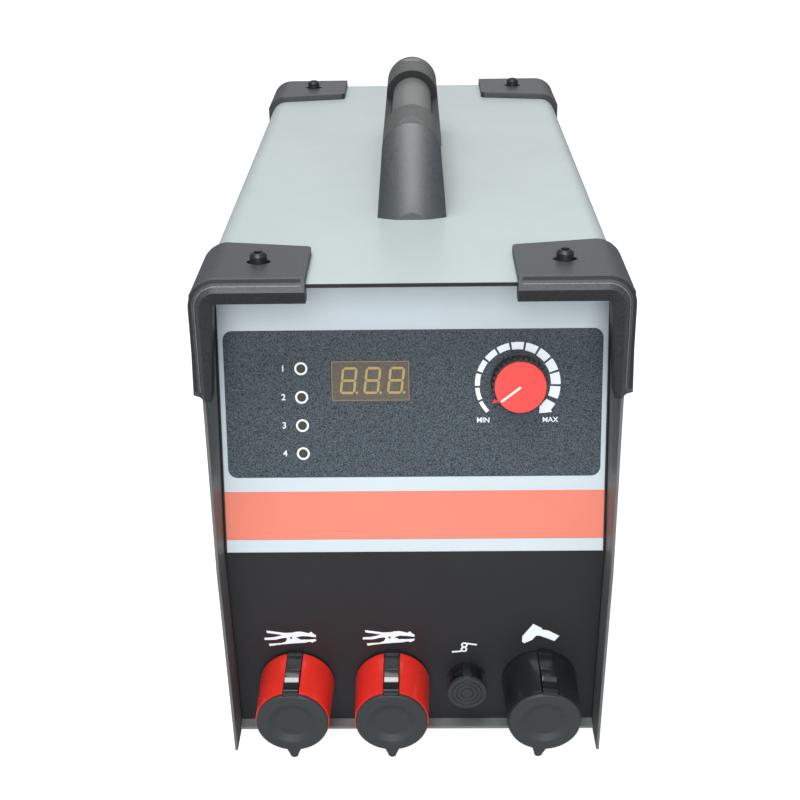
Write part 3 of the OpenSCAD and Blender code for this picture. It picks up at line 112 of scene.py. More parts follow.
# Rings and numbers of the lamps, in millimetres; corners further apart than the gap belong to two lamps
LAMP_GAP = 4
LAMP_RING = (2.4, 3.45)
NUMBER_OFFSET = -9.6
NUMBER_H = 3.4

# Display: sizes in millimetres, and the first digit's corner from its middle
DIGITS = 3
DIGIT_W = 8.3
DIGIT_H = 14.5
DIGIT_PITCH = 12.5
DIGIT_T = 1.3
DIGIT_CORNER = (-16.5, -7.0)
DIGIT_SLANT = 0.12
DIGIT_GAP = 0.15
DOT = (9.3, 0.7, 0.7)
BORDER_W = 0.6

# Pictograms on the lower panel: place of each corner in millimetres, X and height above the floor
CLAMP_PLACES = ((-86.0, 70.0), (-30.1, 70.0))
CLAMP = [
    (1.5, 11.2), (11.7, 9.5), (16.2, 9.6), (18.1, 10.2), (20.9, 10.4), (23.7, 9.7), (25.4, 9.1),
    (27.1, 10.2), (28.0, 8.8), (29.5, 7.8), (29.5, 6.3), (25.4, 6.9), (21.4, 7.2), (18.0, 6.1),
    (20.8, 4.6), (25.4, 4.6), (29.5, 4.9), (29.5, 3.8), (27.3, 2.5), (25.6, 3.1), (22.8, 2.4),
    (17.3, 2.0), (10.0, 1.3), (2.7, 0.1), (2.4, 1.7), (9.6, 2.2), (12.0, 3.2), (13.2, 5.5),
    (12.2, 6.0), (10.0, 5.7), (6.3, 4.6), (0.2, 4.5), (0.2, 6.1), (4.5, 6.3), (7.7, 7.0),
    (10.6, 8.0), (1.8, 9.6),
]
CLAMP_PIVOT = (15.3, 5.9, 0.7)
GUN_PLACE = (60.4, 71.4)
GUN = [
    (5.9, 13.6), (0.1, 5.0), (0.0, 1.0), (1.3, 0.0), (5.6, 2.2), (7.8, 5.3), (9.8, 5.3), (14.4, 3.3),
    (18.3, 1.4), (20.9, 5.0), (14.9, 8.7), (11.0, 9.6), (10.7, 10.7),
]
WIRE_PLACE = (20.6, 65.3)
WIRE_RINGS = ((6.9, 1.8), (7.1, 4.9))
WIRE_RING = (0.9, 1.9)
WIRE_TAILS = (((0.0, -0.1), (5.6, 0.5)), ((8.4, 6.0), (14.2, 5.0)))
WIRE_W = 1.0

# Painted shade along the cut edge of the cover's top, in millimetres
EDGE_SHADE_H = 1.8
EDGE_SHADE_T = 0.3

# Lines along the lip of each front guard, painted shade at its edge and a painted highlight on its ridge, in
# millimetres: distance from the guard's outside, width and look
GUARD_LINES = {
    "edge": (1.5, 1.7, "guard_shadow"),
    "line": (3.8, 0.55, "guard_painted_highlight"),
}
# Corner of a guard's outside, clear lengths at a line's two ends, its step and its depth, in millimetres
GUARD_R = 14.8
LINE_ENDS = (1.0, 2.0)
LINE_STEP = 1.0
LINE_DEPTH = 0.1
CORNER_STEPS = 16

# Marks on the mains switch, in millimetres; the share tells its outer faces from its ends
MARK_RING = (1.3, 2.1)
MARK_STROKE = ((0, -2.1), (0, 2.1))
MARK_W = 0.8
MARK_FACING = 0.7

# Rubber webs between straps and caps, in millimetres from the hinge
# A hump on a web has a height, a rear, a crest and a foot
NO_HUMP = (0, -1, 0, 1)
SOCKET_WEB = dict(width=8.3, lift=1.65, back=16.5, bend=4.6, fore=3.6, drop=1.85,
                  hump=(2.2, -15.5, -7.0, -5.2))
CONNECTOR_WEB = dict(width=4.8, lift=1.2, back=3.5, bend=2.5, fore=3.1, drop=1.4)
BRIDGES = {
    "cap_left": ("socket_strap_left", SOCKET_WEB),
    "cap_middle": ("socket_strap_middle", SOCKET_WEB),
    "cap_right": ("socket_strap_right", SOCKET_WEB),
    "connector_lid": ("connector_strap", CONNECTOR_WEB),
}
BRIDGE_T = 0.6
BRIDGE_CUT = 0.2
BRIDGE_STEPS = 24
HUMP_STEPS = 64
# The front end of a web is dull from this far behind the hinge, in millimetres
WEB_DULL = 3.5

# A face of the handle that turns less than this share to the side isn't one of its flanks
FLANK_SHARE = 0.7
# A face of the handle that turns less than this share forward or back is one of its straight faces, which get a
# painted sheen
STRAIGHT_SHARE = 0.15
# The painted shade on the handle's rails reaches this far past the grip, in millimetres
RAIL_REACH = 1.5
# A face of the cover gets painted shade, a duller and darker copy of its paint, if it turns inward or down
# by more than the first share, or forward by more than the second
INSIDE_SHARE = 0.2
CUT_SHARE = 0.6
# A face of a guard that turns down or inward by more than this share gets painted shade
UNDER_SHARE = 0.25
# A face of a guard that turns forward or back by more than this share is part of its lip, which gets painted shade
LIP_SHARE = 0.3
GUARDS = ("guard_front_left", "guard_front_right", "guard_rear_left", "guard_rear_right")

# The sRGB curve: end and slope of its straight part, offset and power of the rest
SRGB_KNEE = 0.04045
SRGB_SLOPE = 12.92
SRGB_OFFSET = 0.055
SRGB_POWER = 2.4
# Places of a mix node's two colours and of its mixed colour among its sockets
MIX_COLOURS = (6, 7)
MIX_RESULT = 2
# Noise of the looks: size of the broad tone changes in millimetres, and the parts of the noise that are used
NOISE_ROUGHNESS = 0.6
PATCH_SIZE = 45
PATCH_DETAIL = 2
PATCH_SPAN = (0.3, 0.7)
SPECKLE_SPAN = (0.5, 0.72)
MOTTLE_SPAN = (0.34, 0.66)
GLOSS_SPAN = (0.25, 0.75)
GLOSS_CHANGE = 0.07
COAT_ROUGHNESS = 0.12
BEVEL_SAMPLES = 4
# Agreement of the plain and the softened normal where an edge begins and where it is full
EDGE_DOTS = (0.97, 0.8)
# The noise on brushed metal and layered iron is drawn out along one axis
EVEN = (1, 1, 1)
BRUSHED = (1, 14, 1)
LAYERED = (1, 30, 1)
# Looks: colours from 0 to 255; grain, soft edge and depth of the bump in millimetres; the rest as shares,
# factors of the colour or the shader's own values
LOOKS = {
    "cover_paint": dict(colour=(199, 211, 211), roughness=0.42, grain=0.9, depth=0.012, patch=0.025,
        wear_and_highlight=0.25, wear_and_highlight_level=1.2),
    "panel_paint": dict(colour=(37, 39, 43), roughness=0.5, grain=0.35, depth=0.02, patch=0.08,
        speckle=0.35, speckle_level=1.5, wear_and_highlight=0.25),
    # Painted shade: the cover's paint darkened for its faces that lie in shade
    "cover_painted_shade": dict(colour=(112, 116, 117), roughness=0.5, grain=0.9, depth=0.012, patch=0.04),
    "tray_paint": dict(colour=(128, 134, 133), roughness=0.45, grain=0.9, depth=0.012, patch=0.05,
        wear_and_highlight=0.3),
    "overlay_pale": dict(colour=(215, 229, 237), roughness=0.4, grain=0.25, depth=0.003, patch=0.02),
    "overlay_dark": dict(colour=(75, 85, 93), roughness=0.55, grain=0.7, depth=0.03, detail=3, mottle=0.9,
        specular=0.25),
    "overlay_coral": dict(colour=(246, 137, 114), roughness=0.42, grain=0.25, depth=0.003, patch=0.03),
    "display_amber": dict(colour=(98, 94, 82), roughness=0.35, grain=0.8, depth=0.002, mottle=0.25,
        specular=0.2, coat=0.05),
    "lamp_lens": dict(colour=(68, 69, 63), roughness=0.35, grain=0.4, depth=0.002, patch=0.1, speckle=0.2,
        specular=0.2),
    "circuit": dict(colour=(28, 92, 56), roughness=0.45, grain=0.8, depth=0.01, patch=0.15, speckle=0.4,
        speckle_level=1.6),
    "zinc": dict(colour=(176, 178, 182), roughness=0.32, grain=0.3, depth=0.003, patch=0.08, metallic=1.0,
        stretch=BRUSHED),
    "knob_black": dict(colour=(38, 39, 42), roughness=0.45, grain=0.3, depth=0.008, patch=0.08,
        speckle=0.2, wear_and_highlight=0.4),
    "knob_red": dict(colour=(250, 60, 54), roughness=0.36, grain=0.3, depth=0.005, patch=0.03, wear_and_highlight=0.3,
        wear_and_highlight_level=1.25),
    "collar_red": dict(colour=(255, 54, 42), roughness=0.3, grain=0.5, depth=0.004, patch=0.04, coat=0.35,
        wear_and_highlight=0.7, wear_and_highlight_level=3.0),
    "collar_black": dict(colour=(36, 38, 41), roughness=0.3, grain=0.5, depth=0.004, patch=0.06,
        coat=0.25, wear_and_highlight=0.4),
    "insulator": dict(colour=(34, 34, 35), roughness=0.5, grain=0.4, depth=0.008, patch=0.08,
        speckle=0.15),
    "contact_brass": dict(colour=(205, 168, 92), roughness=0.3, grain=0.25, depth=0.003, patch=0.08,
        metallic=1.0, stretch=BRUSHED),
    "cap_rubber": dict(colour=(56, 61, 64), roughness=0.48, grain=0.5, depth=0.01, patch=0.08,
        speckle=0.2, speckle_level=1.35, wear_and_highlight=0.45, wear_and_highlight_level=1.7),
    "strap_rubber": dict(colour=(26, 30, 33), roughness=0.3, grain=0.5, depth=0.008, patch=0.08, coat=0.2,
        wear_and_highlight=0.4),
    "web_rubber": dict(colour=(26, 30, 33), roughness=0.22, grain=0.5, depth=0.004, patch=0.08, coat=1.0,
        coat_ior=1.7),
    "web_dull": dict(colour=(24, 27, 30), roughness=0.55, grain=0.5, depth=0.004, patch=0.08),
    "foot_rubber": dict(colour=(34, 34, 35), roughness=0.7, grain=0.6, depth=0.02, patch=0.1,
        speckle=0.2),
    "connector_black": dict(colour=(34, 35, 38), roughness=0.24, grain=0.4, depth=0.004, patch=0.08,
        coat=0.5, wear_and_highlight=0.4),
    "handle_plastic": dict(colour=(25, 39, 48), roughness=0.42, grain=1.0, depth=0.1, detail=3, mottle=0.8,
        specular=1.0, coat=1.0, coat_roughness=0.38, coat_ior=1.68, wear_and_highlight=0.3),
    # Painted sheen: a paler, duller copy of the handle's plastic for its straight faces
    "handle_painted_sheen": dict(colour=(88, 91, 91), roughness=0.5, grain=1.2, depth=0.06, detail=3, mottle=0.5,
        wear_and_highlight=0.3),
    # Painted shade: the handle's plastic darkened for its rails beside the grip
    "handle_painted_shade": dict(colour=(26, 30, 34), roughness=0.5, grain=1.0, depth=0.04, patch=0.06, speckle=0.4,
        detail=3),
    "grip_plastic": dict(colour=(118, 121, 119), roughness=0.4, grain=0.4, depth=0.006, patch=0.04,
        speckle=0.12, speckle_level=1.2),
    "guard_plastic": dict(colour=(71, 75, 80), roughness=0.48, grain=1.1, depth=0.06, detail=3, mottle=0.4,
        specular=0.8, wear_and_highlight=0.6, wear_and_highlight_level=2.2, edge=0.8),
    # Painted shade: the guards' plastic darkened for the faces of their lips
    "guard_lip": dict(colour=(58, 63, 68), roughness=0.48, grain=1.1, depth=0.06, detail=3, mottle=0.4,
        specular=0.8, wear_and_highlight=0.6, wear_and_highlight_level=2.2, edge=0.8),
    "guard_shadow": dict(colour=(34, 36, 39), roughness=0.55, grain=0.8, depth=0.02, detail=3, mottle=0.3,
        edge=0.1),
    # Painted highlight: pale line where the guard's lip catches the light
    "guard_painted_highlight": dict(colour=(128, 134, 138), roughness=0.45, grain=0.8, depth=0.02, detail=3, mottle=0.3,
        edge=0.1),
    # Painted shade: the guards' plastic darkened for their lower and inner faces
    "guard_painted_shade": dict(colour=(38, 41, 45), roughness=0.5, grain=1.1, depth=0.06, detail=3, mottle=0.4,
        wear_and_highlight=0.6, wear_and_highlight_level=2.2, edge=0.8),
    "screw_black": dict(colour=(66, 68, 70), roughness=0.38, grain=0.25, depth=0.004, patch=0.1,
        metallic=0.7, wear_and_highlight=0.4),
    "can_sleeve": dict(colour=(40, 66, 104), roughness=0.35, grain=0.5, depth=0.004, patch=0.08,
        coat=0.2),
    "copper": dict(colour=(200, 130, 88), roughness=0.32, grain=0.3, depth=0.003, patch=0.1, metallic=1.0,
        stretch=BRUSHED),
    "core_iron": dict(colour=(88, 90, 94), roughness=0.5, grain=0.5, depth=0.02, patch=0.1, metallic=0.8,
        stretch=LAYERED),
    "aluminium": dict(colour=(198, 200, 204), roughness=0.35, grain=0.3, depth=0.003, patch=0.05,
        metallic=1.0, stretch=BRUSHED),
    "module_black": dict(colour=(32, 32, 34), roughness=0.5, grain=0.5, depth=0.015, patch=0.08,
        speckle=0.25, wear_and_highlight=0.35),
    "switch_black": dict(colour=(30, 30, 32), roughness=0.3, grain=0.4, depth=0.003, patch=0.06,
        coat=0.25, wear_and_highlight=0.4),
    "switch_red": dict(colour=(190, 34, 28), roughness=0.28, grain=0.4, depth=0.003, patch=0.05, coat=0.3,
        wear_and_highlight=0.3),
    # The white print also glows a little: painted light
    "print_white": dict(colour=(240, 248, 255), roughness=0.5, grain=0.3, depth=0.002, patch=0.02, edge=0.03,
        glow=0.2),
    # Dark print, also used as painted shade along the cover's cut edge
    "dark_print_and_shade": dict(colour=(24, 25, 27), roughness=0.5, grain=0.3, depth=0.002, patch=0.05,
        edge=0.03),
    "segment_amber": dict(colour=(188, 160, 94), roughness=0.4, grain=0.4, depth=0.002, patch=0.06,
        edge=0.03),
    "border_amber": dict(colour=(138, 116, 84), roughness=0.4, grain=0.4, depth=0.002, patch=0.08,
        edge=0.03),
}


def linear(colour):
    """An sRGB colour of 0 to 255 as the linear one that shaders use."""
    def one(value):
        share = value / 255
        if share <= SRGB_KNEE:
            return share / SRGB_SLOPE
        return ((share + SRGB_OFFSET) / (1 + SRGB_OFFSET)) ** SRGB_POWER
    return tuple(one(value) for value in colour)


def tinted(colour, level):
    """The linear colour made lighter or darker, with full opacity."""
    return tuple(min(channel * level, 1) for channel in linear(colour)) + (1,)


def fill(node, **inputs):
    """Sets a shader node's unlinked inputs."""
    for key, value in inputs.items():
        node.inputs[key.replace("_", " ")].default_value = value


def add_node(tree, kind, settings=None, **inputs):
    """A shader node with its settings and its unlinked inputs."""
    node = tree.nodes.new(kind)
    for key, value in (settings or {}).items():
        setattr(node, key, value)
    fill(node, **inputs)
    return node


def noise(tree, coords, size, detail, stretch=EVEN):
    """Noise with features of that size in millimetres, drawn out along an axis by stretch."""
    mapping = add_node(tree, "ShaderNodeMapping", Scale=stretch)
    texture = add_node(tree, "ShaderNodeTexNoise", Scale=1 / (size * MM), Detail=detail,
                       Roughness=NOISE_ROUGHNESS)
    tree.links.new(coords, mapping.inputs["Vector"])
    tree.links.new(mapping.outputs["Vector"], texture.inputs["Vector"])
    return texture.outputs["Fac"]


def span(tree, value, low, high, to_low, to_high):
    """The value moved from one range to another and kept inside it."""
    node = add_node(tree, "ShaderNodeMapRange", From_Min=low, From_Max=high, To_Min=to_low, To_Max=to_high)
    tree.links.new(value, node.inputs["Value"])
    return node.outputs["Result"]


def mixed(tree, factor, first, second):
    """A colour between two, each a colour or an output."""
    node = add_node(tree, "ShaderNodeMix", {"data_type": "RGBA"})
    tree.links.new(factor, node.inputs["Factor"])
    for place, colour in zip(MIX_COLOURS, (first, second)):
        if isinstance(colour, tuple):
            node.inputs[place].default_value = colour
        else:
            tree.links.new(colour, node.inputs[place])
    return node.outputs[MIX_RESULT]


def edge_mask(tree, soft):
    """One along sharp outer edges and zero on flat faces."""
    geometry = add_node(tree, "ShaderNodeNewGeometry")
    dot = add_node(tree, "ShaderNodeVectorMath", {"operation": "DOT_PRODUCT"})
    tree.links.new(soft.outputs["Normal"], dot.inputs[0])
    tree.links.new(geometry.outputs["Normal"], dot.inputs[1])
    return span(tree, dot.outputs["Value"], *EDGE_DOTS, 0, 1)


def worn_and_highlit(tree, tone, mask, broad, wear_and_highlight, lighter):
    """The tone with a lighter one along its edges, more in some places than in others: partly wear, partly a
    painted highlight.
    """
    share = add_node(tree, "ShaderNodeMath", {"operation": "MULTIPLY"})
    tree.links.new(mask, share.inputs[0])
    tree.links.new(span(tree, broad, 0, 1, 0, wear_and_highlight), share.inputs[1])
    return mixed(tree, share.outputs["Value"], tone, lighter)


def surface(name, colour, roughness, grain, depth, patch=0.05, speckle=0.0, speckle_level=1.6, metallic=0.0,
            coat=0.0, coat_roughness=COAT_ROUGHNESS, coat_ior=1.5, wear_and_highlight=0.0, wear_and_highlight_level=1.5,
            stretch=EVEN, detail=2.0, edge=0.6, mottle=0.0, specular=0.5, glow=0.0):
    """Material with broad tone changes, a fine grain in bump and roughness, speckles and soft edges; its lighter
    edges are partly wear and partly painted highlight, and its glow is painted light.
    """
    made = bpy.data.materials.new(name)
    made.use_nodes = True
    tree = made.node_tree
    shader = tree.nodes["Principled BSDF"]
    fill(shader, Metallic=metallic, Specular_IOR_Level=specular, Coat_Weight=coat, Coat_IOR=coat_ior,
         Coat_Roughness=coat_roughness, Emission_Color=tinted(colour, 1), Emission_Strength=glow)
    coords = add_node(tree, "ShaderNodeTexCoord").outputs["Object"]
    soft = add_node(tree, "ShaderNodeBevel", {"samples": BEVEL_SAMPLES}, Radius=edge * MM)
    fine = noise(tree, coords, grain, detail, stretch)
    broad = noise(tree, coords, PATCH_SIZE, PATCH_DETAIL)
    shade = span(tree, broad, *PATCH_SPAN, 0, 1)
    tone = mixed(tree, shade, tinted(colour, 1 - patch), tinted(colour, 1 + patch))
    if mottle:
        dark, pale = tinted(colour, 1 - mottle), tinted(colour, 1 + mottle)
        tone = mixed(tree, span(tree, fine, *MOTTLE_SPAN, 0, 1), dark, pale)
    if speckle:
        tone = mixed(tree, span(tree, fine, *SPECKLE_SPAN, 0, speckle), tone, tinted(colour, speckle_level))
    # Lighter edges: partly wear, partly a painted highlight on rounded edges
    if wear_and_highlight:
        tone = worn_and_highlit(tree, tone, edge_mask(tree, soft), broad, wear_and_highlight, tinted(colour, wear_and_highlight_level))
    gloss = span(tree, fine, *GLOSS_SPAN, roughness - GLOSS_CHANGE, roughness + GLOSS_CHANGE)
    bump = add_node(tree, "ShaderNodeBump", Strength=1.0, Distance=depth * MM)
    tree.links.new(tone, shader.inputs["Base Color"])
    tree.links.new(gloss, shader.inputs["Roughness"])
    tree.links.new(fine, bump.inputs["Height"])
    tree.links.new(soft.outputs["Normal"], bump.inputs["Normal"])
    tree.links.new(bump.outputs["Normal"], shader.inputs["Normal"])
    return made


def dress_nodes():
    """Gives each CAD node its material."""
    for subpart in record["subparts"]:
        node = nodes[subpart["node"]]
        node.data.materials.clear()
        node.data.materials.append(materials[subpart["material_slot"]])
        for polygon in node.data.polygons:
            polygon.material_index = 0
    dress_cover_shade()
    dress_handle()
    dress_guards()


def add_looks(node, *looks):
    """Adds looks to a CAD node's own one and gives its faces."""
    mesh = nodes[node].data
    for look in looks:
        mesh.materials.append(materials[look])
    return mesh.polygons


def turns_in(polygon, share):
    """Whether a face turns to the machine's middle or down by more than a share."""
    inward = polygon.normal.x * polygon.center.x < -share * abs(polygon.center.x)
    return inward or polygon.normal.z < -share


def dress_guards():
    """Paints shade on the guards' lower and inner faces and on their lips, as darker tones of their plastic."""
    for guard in GUARDS:
        for polygon in add_looks(guard, "guard_painted_shade", "guard_lip"):
            if turns_in(polygon, UNDER_SHARE):
                polygon.material_index = 1
            elif abs(polygon.normal.y) > LIP_SHARE:
                polygon.material_index = 2


def dress_handle():
    """Paints shade on the handle's rails beside the grip as a darker tone, and a painted sheen on its straight
    faces as a paler, duller one.
    """
    low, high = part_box("handle_grip")
    for polygon in add_looks("handle_body", "handle_painted_shade", "handle_painted_sheen"):
        beside = low.y - RAIL_REACH * MM < polygon.center.y < high.y + RAIL_REACH * MM
        if beside and abs(polygon.normal.x) < FLANK_SHARE:
            polygon.material_index = 1
        elif abs(polygon.normal.y) < STRAIGHT_SHARE:
            polygon.material_index = 2


def dress_cover_shade():
    """Paints shade on the cover's inner and lower faces and front edges, as a duller, darker copy of its paint."""
    for polygon in add_looks("cover", "cover_painted_shade"):
        if turns_in(polygon, INSIDE_SHARE) or polygon.normal.y < -CUT_SHARE:
            polygon.material_index = 1


def add_piece(name, mesh, material, body):
    """A new object with that mesh, riding on a body."""
    piece = bpy.data.objects.new(name, mesh)
    bpy.context.scene.collection.objects.link(piece)
    mesh.materials.append(materials[material])
    if body:
        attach(piece, body)
    return piece


def as_mesh(bm, name):
    """The faces built so far, as a new mesh."""
    mesh = bpy.data.meshes.new(name)
    bm.to_mesh(mesh)
    bm.free()
    return mesh


def print_piece(name, outlines, place, material, body=FIXED, low=PRINT_LOW, high=PRINT_HIGH):
    """Thin raised print: flat outlines in millimetres, laid on a place."""
    bm = bmesh.new()
    for outline in outlines:
        corners = [bm.verts.new((x * MM, y * MM, low * MM)) for x, y in outline]
        face = bm.faces.new(corners)
        raised = bmesh.ops.extrude_face_region(bm, geom=[face])["geom"]
        moved = [item for item in raised if isinstance(item, bmesh.types.BMVert)]
        bmesh.ops.translate(bm, verts=moved, vec=(0, 0, (high - low) * MM))
    bmesh.ops.triangulate(bm, faces=bm.faces[:])
    bmesh.ops.recalc_face_normals(bm, faces=bm.faces[:])
    bm.transform(place)
    add_piece(name, as_mesh(bm, name), material, body)


def arc(centre, r, start, end, steps):
    """Points along an arc, angles in degrees."""
    angles = [math.radians(start + (end - start) * i / steps) for i in range(steps + 1)]
    return [(centre[0] + r * math.cos(a), centre[1] + r * math.sin(a)) for a in angles]


def disc(centre, r):
    """Outline of a small full disc."""
    return arc(centre, r, 0, 360, DISC_STEPS)[:-1]


def sector(centre, inner, outer, start, end, steps=SECTOR_STEPS):
    """Outline of a piece of a ring."""
    return arc(centre, outer, start, end, steps) + arc(centre, inner, end, start, steps)


def ring(centre, inner, outer):
    """Outlines of a full ring, in two halves."""
    return [sector(centre, inner, outer, start, start + 180, RING_STEPS) for start in (0, 180)]


def bar(first, second, width):
    """Outline of a straight bar between two points."""
    along = Vector(second) - Vector(first)
    aside = Vector((-along.y, along.x)).normalized() * width / 2
    return [tuple(Vector(first) - aside), tuple(Vector(second) - aside),
            tuple(Vector(second) + aside), tuple(Vector(first) + aside)]


def shifted(outline, x, y):
    """The outline moved sideways and up."""
    return [(px + x, py + y) for px, py in outline]


def basis(origin, right, up, out):
    """Matrix that lays X, Y and Z along three directions at an origin."""
    matrix = Matrix((right, up, out)).transposed().to_4x4()
    matrix.translation = origin
    return matrix


# Frame of the leaning panel at the knob's axis, and of the lower panel's face
knob_place = Vector(joints["knob_turn"]["pos_m"])
panel_out = -Vector(joints["knob_turn"]["axis"])
panel_up = Vector((0, panel_out.z, -panel_out.y))
RIGHT = Vector((1, 0, 0))
UP = Vector((0, 0, 1))
BACK = Vector((0, 1, 0))
FRONT = -BACK
lower_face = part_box("front_panel")[0].y


def on_panel(x, rise, out):
    """Place on the leaning panel, in millimetres from the knob's axis."""
    origin = knob_place + (RIGHT * x + panel_up * rise + panel_out * out) * MM
    return basis(origin, RIGHT, panel_up, panel_out)


def on_lower(x, height):
    """Place on the lower panel's face, in millimetres from the middle and the floor."""
    return basis(Vector((x * MM, lower_face, height * MM)), RIGHT, UP, FRONT)


def reaches(node, direction):
    """How far each corner of a CAD node lies from the knob's place in a direction, in millimetres."""
    return [(vertex.co - knob_place).dot(direction) / MM for vertex in nodes[node].data.vertices]


def panel_offset(node):
    """Sideways place of a CAD node's middle, in millimetres from the knob's axis."""
    low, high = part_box(node)
    return ((low.x + high.x) / 2 - knob_place.x) / MM


def letters(name, text, height, place):
    """White lettering with its middle at a place, as a thin mesh."""
    curve = bpy.data.curves.new(name + "_text", "FONT")
    curve.body = text
    curve.align_x = "CENTER"
    curve.align_y = "CENTER"
    curve.size = height * MM / CAPITAL_SHARE
    curve.extrude = PRINT_HIGH * MM
    curve.offset = height * MM * STROKE_GAIN
    holder = bpy.data.objects.new(name + "_text", curve)
    bpy.context.scene.collection.objects.link(holder)
    bpy.context.view_layer.update()
    mesh = bpy.data.meshes.new_from_object(holder.evaluated_get(bpy.context.evaluated_depsgraph_get()))
    bpy.data.objects.remove(holder)
    mesh.transform(place)
    mesh.materials.clear()
    add_piece(name, mesh, "print_white", FIXED)


def make_dial():
    """Ring of marks that grow towards the arrow, its two words and the knob's pointer line."""
    outlines = []
    for i in range(DIAL_MARKS):
        thickness = DIAL_T[0] + (DIAL_T[1] - DIAL_T[0]) * i / (DIAL_MARKS - 1)
        start = DIAL_START - i * DIAL_PITCH
        outlines.append(sector(DIAL_CENTRE, DIAL_R - thickness, DIAL_R, start, start - DIAL_PITCH + DIAL_GAP))
    outlines.append(shifted(ARROW, *DIAL_CENTRE))
    face = on_panel(0, 0, FIELD_FACE)
    print_piece("dial_marks", outlines, face, "print_white")
    letters("dial_min", "MIN", LETTER_H, on_panel(*MIN_PLACE, FIELD_FACE))
    letters("dial_max", "MAX", LETTER_H, on_panel(*MAX_PLACE, FIELD_FACE))
    crown = max(reaches("knob_cap", panel_out))
    turn = math.radians(POINTER_START)
    tip = (POINTER_REACH * math.cos(turn), POINTER_REACH * math.sin(turn))
    print_piece("pointer_line", [bar((0, 0), tip, POINTER_W)], on_panel(0, 0, crown),
                "print_white", "knob")


def make_lamp_prints():
    """White ring round each lamp and its plain number."""
    x = panel_offset("indicator_lamps")
    rises = lamp_rises()
    rings = [part for rise in rises for part in ring((x, rise), *LAMP_RING)]
    print_piece("lamp_rings", rings, on_panel(0, 0, FIELD_FACE), "print_white")
    for i, rise in enumerate(reversed(rises)):
        letters(f"lamp_number_{i + 1}", str(i + 1), NUMBER_H, on_panel(x + NUMBER_OFFSET, rise, FIELD_FACE))


def lamp_rises():
    """Rise of each lamp's middle above the knob's axis, from the lowest to the highest, in millimetres."""
    rises = sorted(reaches("indicator_lamps", panel_up))
    groups = [[rises[0]]]
    for rise in rises[1:]:
        if rise - groups[-1][-1] > LAMP_GAP:
            groups.append([])
        groups[-1].append(rise)
    return [(group[0] + group[-1]) / 2 for group in groups]


def segment(first, second):
    """Outline of one bar of a digit with pointed ends."""
    start, end = Vector(first), Vector(second)
    along = (end - start).normalized()
    aside = Vector((-along.y, along.x)) * DIGIT_T / 2
    start += along * DIGIT_GAP
    end -= along * DIGIT_GAP
    inset = along * DIGIT_T / 2
    points = [start, start + inset - aside, end - inset - aside,
              end, end - inset + aside, start + inset + aside]
    return [(point.x + point.y * DIGIT_SLANT, point.y) for point in points]


def digit():
    """Outlines of the seven bars of one slanted digit, from its lower left corner."""
    left, right = DIGIT_T / 2, DIGIT_W - DIGIT_T / 2
    low, middle, high = DIGIT_T / 2, DIGIT_H / 2, DIGIT_H - DIGIT_T / 2
    level = [segment((left, y), (right, y)) for y in (low, middle, high)]
    upright = [segment((x, y), (x, y + middle - low)) for x in (left, right) for y in (low, middle)]
    return level + upright


def make_display():
    """Three unlit amber digits with their points, and the window's border."""
    x = panel_offset("display_module")
    low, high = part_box("display_module")
    width = (high.x - low.x) / MM
    top, bottom = window_rises()
    middle = (top + bottom) / 2
    outlines = []
    for i in range(DIGITS):
        corner = (x + DIGIT_CORNER[0] + i * DIGIT_PITCH, middle + DIGIT_CORNER[1])
        outlines += [shifted(outline, *corner) for outline in digit()]
        outlines.append(disc((corner[0] + DOT[0], corner[1] + DOT[1]), DOT[2]))
    print_piece("display_digits", outlines, on_panel(0, 0, FILM_FACE), "segment_amber")
    left, right = x - width / 2, x + width / 2
    edge = BORDER_W / 2
    border = [bar((left, bottom + edge), (right, bottom + edge), BORDER_W),
              bar((left, top - edge), (right, top - edge), BORDER_W),
              bar((left + edge, bottom + BORDER_W), (left + edge, top - BORDER_W), BORDER_W),
              bar((right - edge, bottom + BORDER_W), (right - edge, top - BORDER_W), BORDER_W)]
    print_piece("display_border", border, on_panel(0, 0, FILM_FACE), "border_amber")


def window_rises():
    """Rise of the display's upper and lower edge above the knob's axis, in millimetres."""
    rises = reaches("display_module", panel_up)
    return max(rises), min(rises)


def make_pictograms():
    """White clamps, wire and gun above the sockets."""
    clamps = [shifted(CLAMP, *place) for place in CLAMP_PLACES]
    print_piece("clamp_prints", clamps, on_lower(0, 0), "print_white")
    pivots = [disc((x + CLAMP_PIVOT[0], y + CLAMP_PIVOT[1]), CLAMP_PIVOT[2]) for x, y in CLAMP_PLACES]
    print_piece("clamp_pivots", pivots, on_lower(0, 0), "dark_print_and_shade", high=2 * PRINT_HIGH)
    print_piece("gun_print", [shifted(GUN, *GUN_PLACE)], on_lower(0, 0), "print_white")
    wire = [part for centre in WIRE_RINGS for part in ring(centre, *WIRE_RING)]
    wire += [bar(first, second, WIRE_W) for first, second in WIRE_TAILS]
    outlines = [shifted(outline, *WIRE_PLACE) for outline in wire]
    print_piece("wire_print", outlines, on_lower(0, 0), "print_white")


def make_edge_shade():
    """Dark strip of painted shade along the cut edge of the cover's top sheet, between the two front guards."""
    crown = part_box("cover")[1].z
    low = crown - EDGE_SHADE_H * MM / 2
    front = min(vertex.co.y for vertex in nodes["cover"].data.vertices if vertex.co.z > low)
    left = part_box("guard_front_left")[1].x / MM
    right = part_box("guard_front_right")[0].x / MM
    place = basis(Vector((0, front, crown)), RIGHT, UP, FRONT)
    middle = -EDGE_SHADE_H / 2
    line = bar((left, middle), (right, middle), EDGE_SHADE_H)
    print_piece("cover_edge_shade", [line], place, "dark_print_and_shade", low=-EDGE_SHADE_T,
                high=EDGE_SHADE_T)


